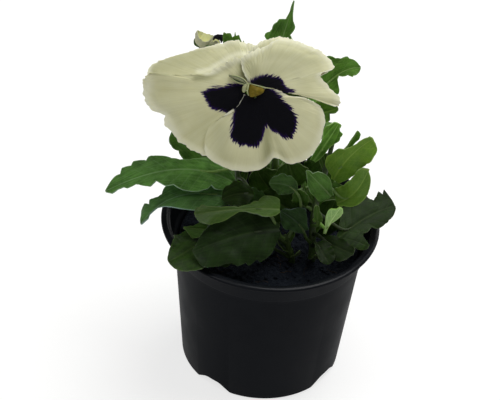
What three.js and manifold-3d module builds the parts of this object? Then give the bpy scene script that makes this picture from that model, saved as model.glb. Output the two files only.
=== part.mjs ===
// A pansy in a 9 cm nursery pot, in millimetres, +Z up.
// The origin is the middle of the pot's underside. +X is to the right and -Y towards the bloom's face.
import * as THREE from "three";
import { mergeVertices } from "three/addons/utils/BufferGeometryUtils.js";
import Module from "manifold-3d";

const wasm = await Module();
wasm.setup();

// Driving dimensions
const seat = 0.3; // clearance between pieces that touch
const sliver = 0.04; // edges shorter than this are collapsed
const pot = {
  height: 71,
  lipRadius: 45,
  footRadius: 34.1,
  stepHeight: 61, // top of the plain wall, where the stacking step widens it
  wall: 1.2,
  arches: 4,
  archHeight: 4.2,
  archInner: 25, // radius of the arch's inner face
  archHalfAngles: { ground: 18.5, top: 8 }, // degrees, so the flanks slope
  archTurn: 56,
  holeRadius: 2.5,
  holeAt: 29,
};
const soil = { top: 60, bottom: 6.3, roughness: 1.1 };
const blade = 0.7; // thickness of leaves
const fullHalf = 5; // a blade's edge waves fully where its half is this wide
const petalThickness = 0.7;
const bloom = { eye: [-10.6, -5, 135.8], faceTilt: 52.3, roll: 4.3 }; // the face looks up and forward

// Helpers
const rad = THREE.MathUtils.degToRad;
const vec = (p) => new THREE.Vector3(...p);
const smooth = (x, a, b) => THREE.MathUtils.smoothstep(x, a, b);
const colours = {
  plastic: new THREE.MeshStandardMaterial({ color: 0x1c1d1e, roughness: 0.45 }),
  peat: new THREE.MeshStandardMaterial({ color: 0x15110d, roughness: 1 }),
  leaf: new THREE.MeshStandardMaterial({ color: 0x3f6b25, roughness: 0.55 }),
  youngLeaf: new THREE.MeshStandardMaterial({ color: 0x5b8a30, roughness: 0.5 }),
  stem: new THREE.MeshStandardMaterial({ color: 0x5a7d36, roughness: 0.5 }),
  petal: new THREE.MeshStandardMaterial({ color: 0xd9d7b4, roughness: 0.7 }),
  throat: new THREE.MeshStandardMaterial({ color: 0xa68a28, roughness: 0.6 }),
  fadedPetal: new THREE.MeshStandardMaterial({ color: 0xb7bf55, roughness: 0.7 }),
};

function solidOf(geometry) {
  const bare = new THREE.BufferGeometry();
  bare.setAttribute("position", geometry.getAttribute("position").clone());
  if (geometry.index) bare.setIndex(geometry.index.clone());
  const merged = mergeVertices(bare, 1e-4);
  return new wasm.Manifold(
    new wasm.Mesh({
      numProp: 3,
      vertProperties: new Float32Array(merged.getAttribute("position").array),
      triVerts: new Uint32Array(merged.index.array),
    }),
  );
}

function geometryOf(solid) {
  const { vertProperties, triVerts } = solid.simplify(sliver).getMesh();
  const geometry = new THREE.BufferGeometry();
  geometry.setAttribute("position", new THREE.BufferAttribute(new Float32Array(vertProperties), 3));
  geometry.setIndex(new THREE.BufferAttribute(new Uint32Array(triVerts), 1));
  geometry.computeVertexNormals();
  return geometry;
}

const joined = (solids) => solids.reduce((all, next) => all.add(next));

function part(name, solid, material, parent) {
  const mesh = new THREE.Mesh(geometryOf(solid), material);
  mesh.name = name;
  parent.add(mesh);
}

// Smooth repeatable unevenness between -1 and 1, for the soil.
function grain(x, y) {
  const wave = (k, a, b) => Math.sin(k * (x * a + y * b) + 5 * a - 3 * b);
  return (wave(0.31, 1, 0.4) + wave(0.52, -0.5, 1) + wave(0.93, 0.8, -1) + wave(1.7, 1, 0.9)) / 4;
}

// A thin closed shell: middle(u, v) is its middle surface, and both faces are split alike.
function shell(middle, uStops, vStops, thickness) {
  const step = 1e-3;
  const faces = [[], []];
  for (const u of uStops)
    for (const v of vStops) {
      const p = middle(u, v);
      const along = middle(Math.min(u + step, 1), v).sub(middle(Math.max(u - step, 0), v));
      const across = middle(u, v + step).sub(middle(u, v - step));
      const offset = along.cross(across).setLength(thickness / 2);
      faces[0].push(p.clone().add(offset));
      faces[1].push(p.clone().sub(offset));
    }
  const rows = uStops.length;
  const cols = vStops.length;
  const below = rows * cols;
  const at = (i, j) => i * cols + j;
  const triangles = [];
  for (let i = 0; i < rows - 1; i++)
    for (let j = 0; j < cols - 1; j++) {
      const [a, b, c, d] = [at(i, j), at(i + 1, j), at(i + 1, j + 1), at(i, j + 1)];
      const split = j < (cols - 1) / 2 ? [[a, b, c], [a, c, d]] : [[a, b, d], [b, c, d]];
      for (const [p, q, r] of split) triangles.push(p, q, r, below + p, below + r, below + q);
    }
  const rim = [];
  for (let j = 0; j < cols - 1; j++) rim.push(at(0, j));
  for (let i = 0; i < rows - 1; i++) rim.push(at(i, cols - 1));
  for (let j = cols - 1; j > 0; j--) rim.push(at(rows - 1, j));
  for (let i = rows - 1; i > 0; i--) rim.push(at(i, 0));
  rim.forEach((p, i) => {
    const q = rim[(i + 1) % rim.length];
    triangles.push(p, q, below + q, p, below + q, below + p);
  });
  const geometry = new THREE.BufferGeometry().setFromPoints([...faces[0], ...faces[1]]);
  geometry.setIndex(triangles);
  return solidOf(geometry);
}

// A closed stalk round a curve, with its radius running from the first value to the last.
function stalk(curve, radii, { sides = 6, rings = 10, widen = 0 } = {}) {
  const points = [];
  const frames = curve.computeFrenetFrames(rings, false);
  for (let i = 0; i <= rings; i++) {
    const t = i / rings;
    const centre = curve.getPointAt(t);
    const radius = THREE.MathUtils.lerp(radii[0], radii[1], t) + widen;
    for (let k = 0; k < sides; k++) {
      const angle = (2 * Math.PI * k) / sides;
      const spoke = frames.normals[i].clone().multiplyScalar(Math.cos(angle) * radius);
      spoke.addScaledVector(frames.binormals[i], Math.sin(angle) * radius);
      points.push(centre.clone().add(spoke));
    }
  }
  const triangles = [];
  for (let i = 0; i < rings; i++)
    for (let k = 0; k < sides; k++) {
      const next = (k + 1) % sides;
      const [a, b] = [i * sides + k, i * sides + next];
      const [c, d] = [a + sides, b + sides];
      triangles.push(a, b, d, a, d, c);
    }
  for (let k = 1; k < sides - 1; k++) {
    const last = rings * sides;
    triangles.push(0, k + 1, k, last, last + k, last + k + 1);
  }
  const geometry = new THREE.BufferGeometry().setFromPoints(points);
  geometry.setIndex(triangles);
  return solidOf(geometry);
}

const curveThrough = (points) => new THREE.CatmullRomCurve3(points.map(vec), false, "centripetal");

// The pot is a lathe-turned shell with four arched feet pockets and a drain hole in each.
function makePot() {
  const { height: h, lipRadius: r, stepHeight: s, footRadius: f, wall } = pot;
  const outside = [
    [0, 0], [f - 0.7, 0], [f, 0.8], [39, s - 3], [39.4, s], [40.9, s + 0.3], [41.8, h - 2.4],
    [r - 0.8, h - 2], [r, h - 1.2], [r - 0.1, h - 0.4], [r - 1, h],
  ];
  const inside = [
    [r - 2.2, h], [41, h - 1], [40.6, h - 3], [39.6, s + 0.4], [38.2, s - 0.6], [37.8, s - 3],
    [f - wall, 1.6], [f - wall - 0.6, wall], [0, wall],
  ];
  const turned = (profile) => solidOf(
    new THREE.LatheGeometry(profile.map(([x, y]) => new THREE.Vector2(x, y)), 40).rotateX(Math.PI / 2),
  );
  const envelope = turned([...outside, [0, h]]);
  const under = 1; // the cutting wedges start this far below the foot
  let body = turned([...outside, ...inside]);
  // A wedge of the foot between two radii, as wide as the arch and a margin (an angle) at every height.
  const wedge = (inner, outer, top, margin, turn) => {
    const block = new THREE.BoxGeometry(2, 2, 2, 1, 8, 1);
    const spots = block.getAttribute("position");
    const { ground, top: crown } = pot.archHalfAngles;
    for (let i = 0; i < spots.count; i++) {
      const z = spots.getZ(i) > 0 ? top : -under;
      const half = rad(THREE.MathUtils.mapLinear(z, 0, pot.archHeight, ground, crown)) + margin;
      const radius = spots.getX(i) > 0 ? outer : inner;
      const angle = turn + half * spots.getY(i);
      spots.setXYZ(i, radius * Math.cos(angle), radius * Math.sin(angle), z);
    }
    return solidOf(block);
  };
  for (let i = 0; i < pot.arches; i++) {
    const turn = rad(pot.archTurn + (360 / pot.arches) * i);
    const jacket = wedge(pot.archInner - wall, f + 1, pot.archHeight + wall, wall / pot.archInner, turn);
    body = body.add(jacket.intersect(envelope));
    body = body.subtract(wedge(pot.archInner, f + 5, pot.archHeight, 0, turn));
    const hole = new THREE.CylinderGeometry(pot.holeRadius, pot.holeRadius, 20, 8).rotateX(Math.PI / 2);
    hole.translate(pot.holeAt * Math.cos(turn), pot.holeAt * Math.sin(turn), pot.archHeight);
    body = body.subtract(solidOf(hole));
  }
  return body;
}

// The soil fills the pot up to an uneven top.
function makeSoil(holes) {
  const sectors = 32;
  const innerWall = (z) => THREE.MathUtils.mapLinear(z, 1.6, 58, pot.footRadius - pot.wall, 37.8);
  const points = [];
  const rings = [];
  const addRing = (radius, height) => {
    rings.push(points.length);
    for (let k = 0; k < sectors; k++) {
      const angle = (2 * Math.PI * k) / sectors;
      const [x, y] = [radius * Math.cos(angle), radius * Math.sin(angle)];
      points.push(new THREE.Vector3(x, y, height(x, y)));
    }
  };
  const top = (x, y) => soil.top + soil.roughness * grain(x, y) + 0.8 - 0.0006 * (x * x + y * y);
  const flat = (z) => () => z;
  points.push(new THREE.Vector3(0, 0, soil.bottom));
  addRing(innerWall(soil.bottom) - seat - 0.3, flat(soil.bottom));
  addRing(innerWall(soil.top - 4) - seat - 0.1, flat(soil.top - 4));
  for (const share of [1, 0.82, 0.62, 0.42, 0.2]) addRing(37.2 * share, top);
  points.push(new THREE.Vector3(0, 0, top(0, 0)));
  const triangles = [];
  const last = points.length - 1;
  for (let k = 0; k < sectors; k++) {
    const next = (k + 1) % sectors;
    triangles.push(0, rings[0] + next, rings[0] + k);
    for (let i = 0; i < rings.length - 1; i++) {
      const [a, b] = [rings[i] + k, rings[i] + next];
      const [c, d] = [rings[i + 1] + k, rings[i + 1] + next];
      triangles.push(a, b, d, a, d, c);
    }
    triangles.push(rings.at(-1) + k, rings.at(-1) + next, last);
  }
  const geometry = new THREE.BufferGeometry().setFromPoints(points);
  geometry.setIndex(triangles);
  return holes.reduce((body, hole) => body.subtract(hole), solidOf(geometry));
}

// Leafy stems: each stands in a hole in the soil and carries the leaves that name it. stipules are
// the small pointed leaflets at its joints: how far up they sit, their heading in degrees and length.
const stems = {
  back: { path: [[3, 7, 52], [2, 9, 70], [0, 14, 92], [-2, 20, 112], [-4, 26, 129]], radii: [1.9, 1.1],
    stipules: [[0.32, 60, 8], [0.55, 200, 8], [0.78, 20, 7], [0.98, 150, 8]] },
  right: { path: [[18, -13, 52], [17.6, -12.5, 66], [17, -8, 82], [20, -2, 98], [22, 2, 110]],
    radii: [1.5, 0.9],
    stipules: [[0.16, 285, 8], [0.34, 60, 8], [0.56, 160, 8], [0.8, 120, 7]] },
  left: { path: [[-9, -3, 52], [-10, -3, 66], [-13, -1, 80], [-15, 3, 92], [-16, 7, 103]],
    radii: [1.7, 0.9],
    stipules: [[0.42, 300, 8], [0.63, 65, 8], [0.88, 335, 7]] },
  front: { path: [[10, -13, 52], [9.5, -14, 62], [6, -15, 74]], radii: [1.6, 1.1],
    stipules: [[0.62, 200, 8], [0.5, 300, 8], [0.8, 60, 6]] },
};

// Leaves. base, mid and tip lie on the midrib and face points out of the upper side. fold and curl bend
// each half up (+) or down (-), in degrees, near the midrib and towards the edge. outline gives, from base
// to tip, a share of the midrib and how wide the blade is there on either side of it. A leaf without one is
// a toothed oval: width is its widest spread and widest where that is, blunt rounds its ends (small is
// rounder) and depth is how far its teeth are cut.
const leaves = [
  { name: "leaf_left_long", stem: "left", at: 0.8, base: [-16.5, -2, 89.5], mid: [-39.5, -6, 96.5],
    tip: [-67, -8, 84.5], face: [0.05, -0.45, 0.9], fold: 10, curl: -14, wave: 0.8, outline: [[0, 2, 2],
    [0.05, 3, 4.5], [0.09, 3.5, 6], [0.16, 4.5, 7], [0.2, 5.5, 6], [0.23, 6.5, 8], [0.32, 5, 9.5],
    [0.39, 4, 9.5], [0.46, 4, 9], [0.52, 5, 7], [0.59, 7, 7], [0.65, 7.5, 4], [0.68, 7.5, 5],
    [0.7, 6, 5.5], [0.72, 6.5, 5], [0.78, 7, 3], [0.8, 5.5, 2.5], [0.86, 6, 3], [0.88, 4, 2], [0.92, 4, 2],
    [0.96, 2.5, 2.5], [1, 0.4, 0.4]] },
  { name: "leaf_left_under", stem: "left", at: 0.62, base: [-15.5, -9, 86], mid: [-37, -12, 88],
    tip: [-52, -14, 74], face: [-0.2, -0.5, 0.8], fold: 18, curl: -20, twist: 30, outline: [[0, 2, 2],
    [0.15, 3, 6], [0.3, 5, 8], [0.42, 6.5, 8], [0.53, 7.5, 7], [0.6, 7.5, 5], [0.65, 6.5, 3.5],
    [0.68, 4.5, 2.5], [0.72, 4, 1.5], [0.77, 4.5, 0.5], [0.81, 5, 0.5], [0.83, 3.5, 0.5], [0.87, 5.5, 0.5],
    [0.89, 5.5, 2.5], [0.95, 5, 2], [0.98, 3, 1.5], [1, 0.6, 0.4]] },
  { name: "leaf_left_behind", stem: "left", at: 0.95, base: [-24, 7, 93], mid: [-33.5, 8, 98],
    tip: [-42.5, 9.6, 103.5], face: [-0.1, -0.6, 0.8], outline: [[0, 1, 1.5], [0.25, 3.5, 4], [0.45, 4, 6],
    [0.55, 4, 6.5], [0.66, 3.5, 5.5], [0.69, 3.5, 4.5], [0.78, 3, 5], [0.86, 2.5, 4.5], [0.93, 2, 4],
    [0.98, 1, 2.5], [1, 0.4, 0.4]] },
  { name: "leaf_left_inner", stem: "left", at: 0.72, base: [-7.5, -9.5, 89.5], mid: [-14, -11, 90.5],
    tip: [-20, -12, 88], face: [0, -0.5, 0.8], width: 11, teeth: 3 },
  { name: "leaf_front_folded", stem: "front", at: 0.96, base: [3, -19, 90.5], mid: [-13, -24, 93],
    tip: [-30, -28, 92], face: [0.05, -0.4, 0.9], fold: 12, curl: -30, wave: 1.4, twist: -20, young: true,
    waves: 1.5, outline: [[0, 4, 1], [0.06, 5, 2.5], [0.17, 5.5, 3.5], [0.22, 4.5, 3.5], [0.25, 3.5, 3.5],
    [0.3, 4, 2.5], [0.36, 2, 2], [0.43, 1.5, 1], [0.5, 1, 1], [0.6, 1.5, 2.5], [0.7, 1.5, 4],
    [0.78, 2, 4.5], [0.86, 2.5, 5], [0.9, 3.5, 4.5], [0.93, 2.5, 4], [0.97, 2.5, 3], [1, 0.6, 0.5]] },
  { name: "leaf_front_broad", stem: "front", at: 0.86, base: [3.5, -20.5, 82], mid: [-13, -27.5, 82.5],
    tip: [-29.6, -35.1, 79], face: [0, -0.75, 0.65], wave: 0.8, curl: -16, outline: [[0, 1.5, 3.5],
    [0.05, 3, 5.5], [0.12, 6, 8.5], [0.19, 8, 10.5], [0.3, 9.5, 12], [0.33, 9.5, 10.5], [0.4, 9.5, 12],
    [0.45, 9.5, 12.5], [0.48, 9.5, 11], [0.6, 8.5, 11.5], [0.65, 8, 9.5], [0.72, 7.5, 9], [0.78, 6.5, 9],
    [0.85, 5, 8.5], [0.9, 3.5, 8], [0.94, 2, 7.5], [0.99, 1, 6], [1, 0.5, 3]] },
  { name: "leaf_front_under", stem: "front", at: 0.5, base: [-9.5, -19.5, 71.5], mid: [-17, -25, 72],
    tip: [-24.5, -27.5, 69.5], face: [-0.1, -0.7, 0.7], width: 12.5, teeth: 4, wave: 0.4 },
  { name: "leaf_front_over_lip", stem: "left", at: 0.3, base: [-25.5, -19, 74], mid: [-32, -30, 75],
    tip: [-39, -36.5, 74.5], face: [-0.3, -0.5, 0.8], outline: [[0, 5, 2], [0.07, 8, 3], [0.26, 9.5, 7.5],
    [0.38, 9.5, 10], [0.44, 8, 11], [0.54, 7.5, 11], [0.63, 6.5, 11], [0.76, 5, 8],
    [0.84, 4, 7], [0.92, 2.5, 5.5], [0.97, 1.5, 4], [1, 0.5, 1.5]] },
  { name: "leaf_left_small", stem: "left", at: 0.5, base: [-21, -16.5, 76.5], mid: [-27, -20, 78.5],
    tip: [-34.5, -21, 79.5], face: [0, -0.6, 0.8], outline: [[0, 1.5, 1], [0.06, 2, 1], [0.19, 2.5, 3],
    [0.32, 3, 3.5], [0.6, 2.5, 3.5], [0.76, 1, 4], [0.82, 1, 3], [0.93, 0.5, 1], [1, 0.3, 0.3]] },
  { name: "leaf_beside_bloom", stem: "right", at: 0.97, base: [15, -1, 102], mid: [19.5, 0, 111],
    tip: [23.5, 2, 119], face: [0.2, -0.8, 0.5], outline: [[0, 1, 1.5], [0.2, 2, 2], [0.44, 2, 2],
    [0.55, 3, 2.5], [0.65, 4, 3.5], [0.74, 3.5, 4], [0.84, 3.5, 3.5], [0.86, 2, 3], [0.93, 1, 2.5],
    [0.98, 1, 2], [1, 0.4, 1]] },
  { name: "leaf_right_narrow", stem: "right", at: 0.9, base: [27, 1, 106], mid: [29, 1, 111],
    tip: [31.5, 2, 116], face: [0.2, -0.8, 0.5], outline: [[0, 1, 1], [0.3, 1, 0.5], [0.56, 1.5, 0.5],
    [0.78, 2, 0.5], [0.94, 1.5, 0.5], [1, 0.3, 0.3]] },
  { name: "leaf_right_round", stem: "right", at: 0.84, base: [23.5, -5, 96.5], mid: [28.5, -7, 109.5],
    tip: [36.5, -9, 120.5], face: [0.1, -0.7, 0.7], young: true, outline: [[0, 2.5, 1], [0.06, 3.5, 1.5],
    [0.14, 5, 4], [0.2, 5.5, 6], [0.3, 6, 7], [0.35, 6, 6], [0.49, 6, 5.5], [0.56, 6.5, 3.5],
    [0.65, 6.5, 2.5], [0.74, 7, 2], [0.88, 6, 2], [0.95, 5, 1.5], [0.98, 4, 1.5], [1, 2, 0.5]] },
  { name: "leaf_right_upright", stem: "right", at: 0.6, base: [23, -11.5, 93], mid: [18, -13.5, 100],
    tip: [12, -14.5, 107], face: [0, -0.9, 0.4], outline: [[0, 1, 1], [0.1, 1.5, 3], [0.15, 2, 4.5],
    [0.33, 3.5, 5], [0.52, 4.5, 5], [0.68, 4, 4], [0.81, 3, 2.5], [0.86, 1, 2], [0.93, 1, 1],
    [1, 0.4, 0.3]] },
  { name: "leaf_right_bright", stem: "right", at: 0.7, base: [25.5, -9.5, 88.5], mid: [32, -11.5, 96],
    tip: [36, -12.5, 108.5], face: [0, -0.75, 0.6], young: true, outline: [[0, 1, 3], [0.06, 1.5, 5],
    [0.14, 2, 6], [0.24, 3.5, 5.5], [0.32, 4, 5.5], [0.45, 4.5, 5], [0.58, 4.5, 5], [0.67, 4, 4.5],
    [0.8, 3, 4], [0.89, 2, 4], [0.96, 0.5, 3.5], [1, 0.4, 2]] },
  { name: "leaf_right_over_lip", stem: "right", at: 0.5, base: [25.5, -18, 75], mid: [37, -7.5, 79.5],
    tip: [50, 2, 80.5], face: [0.1, -0.35, 0.9], curl: -10, fold: 6, outline: [[0, 2, 1], [0.08, 5, 1],
    [0.15, 8, 2], [0.18, 9.5, 3], [0.26, 11, 5], [0.32, 10.5, 7], [0.335, 6, 7], [0.37, 5, 8],
    [0.43, 5.5, 9], [0.53, 4.5, 9], [0.57, 6, 9], [0.64, 6.5, 9], [0.73, 6, 8.5], [0.76, 6, 6.5],
    [0.79, 5.5, 5.5], [0.85, 5, 6.5], [0.9, 4, 8], [0.92, 3.5, 6], [0.97, 2, 8], [0.985, 1.5, 5],
    [1, 0.5, 2.5]] },
  { name: "leaf_right_low", stem: "right", at: 0.36, base: [21, -19, 76.5], mid: [27, -24, 77.5],
    tip: [33, -28, 78], face: [0.1, -0.6, 0.75], outline: [[0, 2, 2], [0.2, 4, 3.5], [0.35, 4.5, 4],
    [0.6, 5, 4], [0.77, 5, 3], [0.88, 3.5, 3], [0.96, 1, 2.5], [1, 0.4, 1.5]] },
  { name: "leaf_right_lowest", stem: "right", at: 0.28, base: [18.5, -22.5, 78], mid: [21, -27.5, 77],
    tip: [24, -31, 74.5], face: [0.2, -0.7, 0.7], outline: [[0, 1, 2.5], [0.1, 1, 3.5], [0.3, 2, 4.5],
    [0.53, 2.5, 4.5], [0.73, 2.5, 4], [0.87, 2, 3.5], [0.95, 1, 2.5], [1, 0.3, 0.5]] },
  { name: "leaf_right_pale", stem: "right", at: 0.46, base: [21.5, -18, 79], mid: [23.5, -19.5, 87],
    tip: [26.5, -20, 94.5], face: [0.15, -0.85, 0.5], fold: 14, outline: [[0, 0.5, 0.5], [0.24, 0.5, 1],
    [0.42, 0.5, 2], [0.6, 1.5, 3], [0.76, 2, 3.5], [0.86, 2, 3], [0.91, 2, 1], [1, 1, 0.5]] },
  { name: "leaf_centre_front", stem: "right", at: 0.3, base: [14, -14.5, 77], mid: [9, -14, 82],
    tip: [3.5, -13.5, 85.5], face: [0, -0.9, 0.4], outline: [[0, 1.5, 1.5], [0.14, 2.5, 3],
    [0.4, 5.5, 4.5], [0.48, 6.5, 5], [0.62, 5, 5], [0.8, 2.5, 3.5], [0.95, 1.5, 1.5], [1, 0.4, 0.4]] },
  { name: "leaf_centre_small", stem: "right", at: 0.42, base: [18.5, -18, 82.5], mid: [18, -19, 88.5],
    tip: [17, -19, 94], face: [0, -0.9, 0.4], outline: [[0, 0.5, 0.5], [0.2, 1, 0.5], [0.4, 2, 1.5],
    [0.72, 1, 1.5], [0.92, 1, 1], [1, 0.3, 0.3]] },
  { name: "leaf_centre_tall", stem: "front", at: 0.94, base: [9, -12, 95], mid: [4, -12.5, 98],
    tip: [-2, -12.5, 98], face: [0, -0.9, 0.4], width: 9, teeth: 4 },
  { name: "leaf_centre_left", stem: "front", at: 0.8, base: [-1.5, -9, 81], mid: [-8, -8, 84],
    tip: [-14.5, -8, 87], face: [0, -0.8, 0.6], width: 13, teeth: 4 },
  { name: "leaf_centre_behind", stem: "back", at: 0.34, base: [3, 4, 78.5], mid: [-3, 4.5, 84.5],
    tip: [-7.5, 5, 92], face: [0, -0.8, 0.6], width: 15, teeth: 4 },
  { name: "leaf_centre_inner", stem: "right", at: 0.52, base: [12, -8, 83], mid: [11, -9.5, 89],
    tip: [9, -10, 94], face: [0, -0.9, 0.4], width: 7, teeth: 3 },
  { name: "leaf_centre_high", stem: "back", at: 0.42, base: [8, 0, 88.5], mid: [7, -1, 94],
    tip: [5, -1, 101], face: [0, -0.9, 0.4], width: 15, teeth: 4 },
  { name: "leaf_right_inner", stem: "back", at: 0.46, base: [14, 1.5, 88], mid: [18.5, 2, 96],
    tip: [21, 3.5, 103], face: [0, -0.8, 0.6], width: 15, teeth: 4 },
  { name: "leaf_right_deep", stem: "back", at: 0.3, base: [15, 6, 74], mid: [22, 6, 78.5],
    tip: [30.5, 5, 81], face: [0.1, -0.7, 0.7], width: 17, teeth: 4 },
  { name: "leaf_centre_dark", stem: "back", at: 0.24, base: [12.5, -1, 74], mid: [3.5, -1.5, 79.5],
    tip: [-4.5, -1.5, 84.5], face: [0, -0.8, 0.6], width: 15, teeth: 4 },
  { name: "leaf_right_dark", stem: "right", at: 0.34, base: [20, -2, 64], mid: [23, -2, 75],
    tip: [25.5, -1, 83.5], face: [0, -0.8, 0.6], width: 13, teeth: 4 },
  { name: "leaf_behind_right", stem: "back", at: 0.86, base: [16, 14, 126], mid: [23, 16, 133.5],
    tip: [30.5, 17, 136], face: [0.1, -0.7, 0.7], outline: [[0, 2, 2], [0.15, 6, 3], [0.24, 5, 4.5],
    [0.3, 3, 6], [0.35, 1.5, 7.5], [0.42, 0.5, 8.5], [0.48, 1.5, 8], [0.54, 2, 6], [0.62, 2, 5],
    [0.74, 3.5, 5], [0.77, 3, 4], [0.87, 3, 3], [0.96, 2, 1], [1, 0.4, 0.3]] },
  { name: "leaf_behind_petal", stem: "back", at: 0.75, base: [12, 7, 120], mid: [17.5, 8, 119.5],
    tip: [23, 9, 121.5], face: [0, -0.7, 0.7], outline: [[0, 1, 2], [0.2, 3, 4.5], [0.4, 4, 4.5],
    [0.52, 4, 4.5], [0.65, 3.5, 4.5], [0.69, 1, 4.5], [0.85, 1.5, 4.5], [0.97, 1, 3.5], [1, 0.3, 1]] },
  { name: "leaf_top", stem: "back", at: 0.98, base: [-2, 27, 135], mid: [0, 29, 144],
    tip: [2.5, 31, 155.5], face: [0, -0.85, 0.5], outline: [[0, 1, 1], [0.12, 3, 4.5], [0.22, 4.5, 7],
    [0.29, 4.5, 7], [0.34, 3.5, 5.5], [0.4, 2.5, 5], [0.52, 3.5, 5], [0.58, 3.5, 4], [0.64, 2.5, 3.5],
    [0.67, 2, 1], [0.8, 1, 0.5], [0.92, 0.5, 0.5], [1, 0.2, 0.3]] },
  { name: "leaf_behind_bud", stem: "back", at: 0.9, base: [-15.9, 24, 137.9], mid: [-20, 24.8, 137.4],
    tip: [-24.1, 25, 136.6], face: [0, -0.85, 0.5], fold: 4, curl: 0, wave: 0.3, outline: [
      [0, 0.4, 1.5], [0.08, 1.2, 1.5], [0.22, 2.7, 1.7], [0.27, 3.9, 1.8], [0.39, 3.4, 1.8], [0.43, 5, 1.8],
      [0.46, 3.3, 1.8], [0.56, 2.7, 1.8], [0.62, 4.3, 1.8], [0.8, 4.4, 1.6], [0.9, 5, 1.5], [1, 0.6, 0.6]] },
  { name: "leaf_far_left", stem: "back", at: 0.45, base: [-8, 14, 92], mid: [-24, 26, 97],
    tip: [-38, 36, 88], face: [-0.2, 0.4, 0.85], width: 18, teeth: 5 },
  { name: "leaf_far_right", stem: "back", at: 0.5, base: [9, 18, 93], mid: [17, 29, 99],
    tip: [24, 39, 92], face: [0.2, 0.4, 0.85], width: 17, teeth: 5 },
  { name: "leaf_far_over_lip", stem: "back", at: 0.3, base: [2, 20, 79], mid: [6, 35, 81],
    tip: [9, 52, 72], face: [0, 0.3, 0.9], width: 18, teeth: 5 },
  { name: "leaf_far_low_left", stem: "back", at: 0.22, base: [-14, 14, 75], mid: [-26, 25, 79],
    tip: [-38, 34, 72.5], face: [-0.2, 0.3, 0.9], width: 16, teeth: 4 },
  { name: "leaf_far_low_right", stem: "back", at: 0.26, base: [13, 14, 74], mid: [21, 24, 77],
    tip: [28, 34, 73.5], face: [0.2, 0.3, 0.9], width: 15, teeth: 4 },
  { name: "leaf_far_high", stem: "back", at: 0.8, base: [-9, 28, 116], mid: [-15, 37, 121],
    tip: [-20, 46, 121], face: [-0.2, 0.1, 0.9], width: 13, teeth: 4 },
  { name: "leaf_far_upright", stem: "back", at: 0.66, base: [8, 24, 108], mid: [15, 32, 115],
    tip: [20, 41, 118], face: [0.2, 0.1, 0.9], width: 13, teeth: 4 },
];

function fromOutline(outline, u, v) {
  const next = THREE.MathUtils.clamp(outline.findIndex(([at]) => at >= u), 1, outline.length - 1);
  const [before, after] = [outline[next - 1], outline[next]];
  const side = v < 0 ? 2 : 1;
  return THREE.MathUtils.mapLinear(u, before[0], after[0], before[side], after[side]);
}

function fromOval({ width, teeth, widest = 0.52, blunt = 0.6, depth = 0.16 }, u, v) {
  const skew = Math.log(0.5) / Math.log(widest);
  const spread = Math.max(Math.sin(Math.PI * u ** skew) ** blunt, 0.07);
  const tooth = Math.abs(Math.sin(Math.PI * ((u * teeth) % 1) ** 1.4)) ** 0.7;
  return (width / 2) * spread * (1 - depth * smooth(u, 0.12, 0.35) * (1 - tooth) * v * v);
}

function leafMiddle(leaf) {
  const [base, mid, tip] = [leaf.base, leaf.mid, leaf.tip].map((p) => vec([...p]));
  const face = vec(leaf.face).normalize();
  const { fold = 8, curl = -10, wave = 0.6, waves = 2.5, twist = 0 } = leaf;
  const midrib = (u) => base.clone().multiplyScalar((1 - u) * (1 - 2 * u))
    .addScaledVector(mid, 4 * u * (1 - u)).addScaledVector(tip, u * (2 * u - 1));
  const tangent = (u) => base.clone().multiplyScalar(4 * u - 3)
    .addScaledVector(mid, 4 - 8 * u).addScaledVector(tip, 4 * u - 1).normalize();
  return (u, v) => {
    const half = leaf.outline ? fromOutline(leaf.outline, u, v) : fromOval(leaf, u, v);
    const bend = rad(curl) * Math.abs(v);
    const start = rad(fold);
    const out = Math.abs(bend) < 1e-4 ? Math.abs(v) * Math.cos(start)
      : (Math.abs(v) * (Math.sin(start + bend) - Math.sin(start))) / bend;
    const up = Math.abs(bend) < 1e-4 ? Math.abs(v) * Math.sin(start)
      : (Math.abs(v) * (Math.cos(start) - Math.cos(start + bend))) / bend;
    const along = tangent(u);
    const normal = face.clone().addScaledVector(along, -face.dot(along)).normalize();
    normal.applyAxisAngle(along, rad(twist) * u);
    const side = along.clone().cross(normal);
    const phase = 2 * Math.PI * (waves * u + 0.2 * Math.sign(v));
    const ripple = wave * Math.min(half / fullHalf, 1) * v * v * Math.sin(phase);
    const rise = half * up + ripple;
    return midrib(u).addScaledVector(side, Math.sign(v) * half * out).addScaledVector(normal, rise);
  };
}

function makeLeaf(leaf) {
  const middle = leafMiddle(leaf);
  const uStops = leaf.outline ? leaf.outline.map(([at]) => at) : [0];
  for (let k = 0; k < (leaf.teeth ?? 0); k++)
    uStops.push((k + 0.62) / leaf.teeth, (k + 1) / leaf.teeth);
  const vStops = leaf.width >= 17 ? [-1, -0.55, 0, 0.55, 1] : [-1, 0, 1];
  const lamina = shell(middle, uStops, vStops, blade);
  const stem = stems[leaf.stem];
  const stemCurve = curveThrough(stem.path);
  const joint = stemCurve.getPointAt(leaf.at);
  const base = vec(leaf.base);
  const radius = leaf.stalk ?? 0.75;
  const out = base.clone().sub(joint).setZ(0).normalize();
  const stemRadius = THREE.MathUtils.lerp(...stem.radii, leaf.at);
  const foot = joint.clone().addScaledVector(out, stemRadius + seat + radius * 0.8);
  const reach = base.distanceTo(foot) * 0.4;
  const into = middle(0.22, 0);
  const heading = into.clone().sub(base).normalize();
  const rise = out.clone().multiplyScalar(0.7).add(new THREE.Vector3(0, 0, 0.7));
  const curve = new THREE.CubicBezierCurve3(
    foot, foot.clone().addScaledVector(rise, reach), base.clone().addScaledVector(heading, -reach), into);
  return lamina.add(stalk(curve, [radius, radius * 0.55], { sides: 4, rings: 6 }));
}

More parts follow.
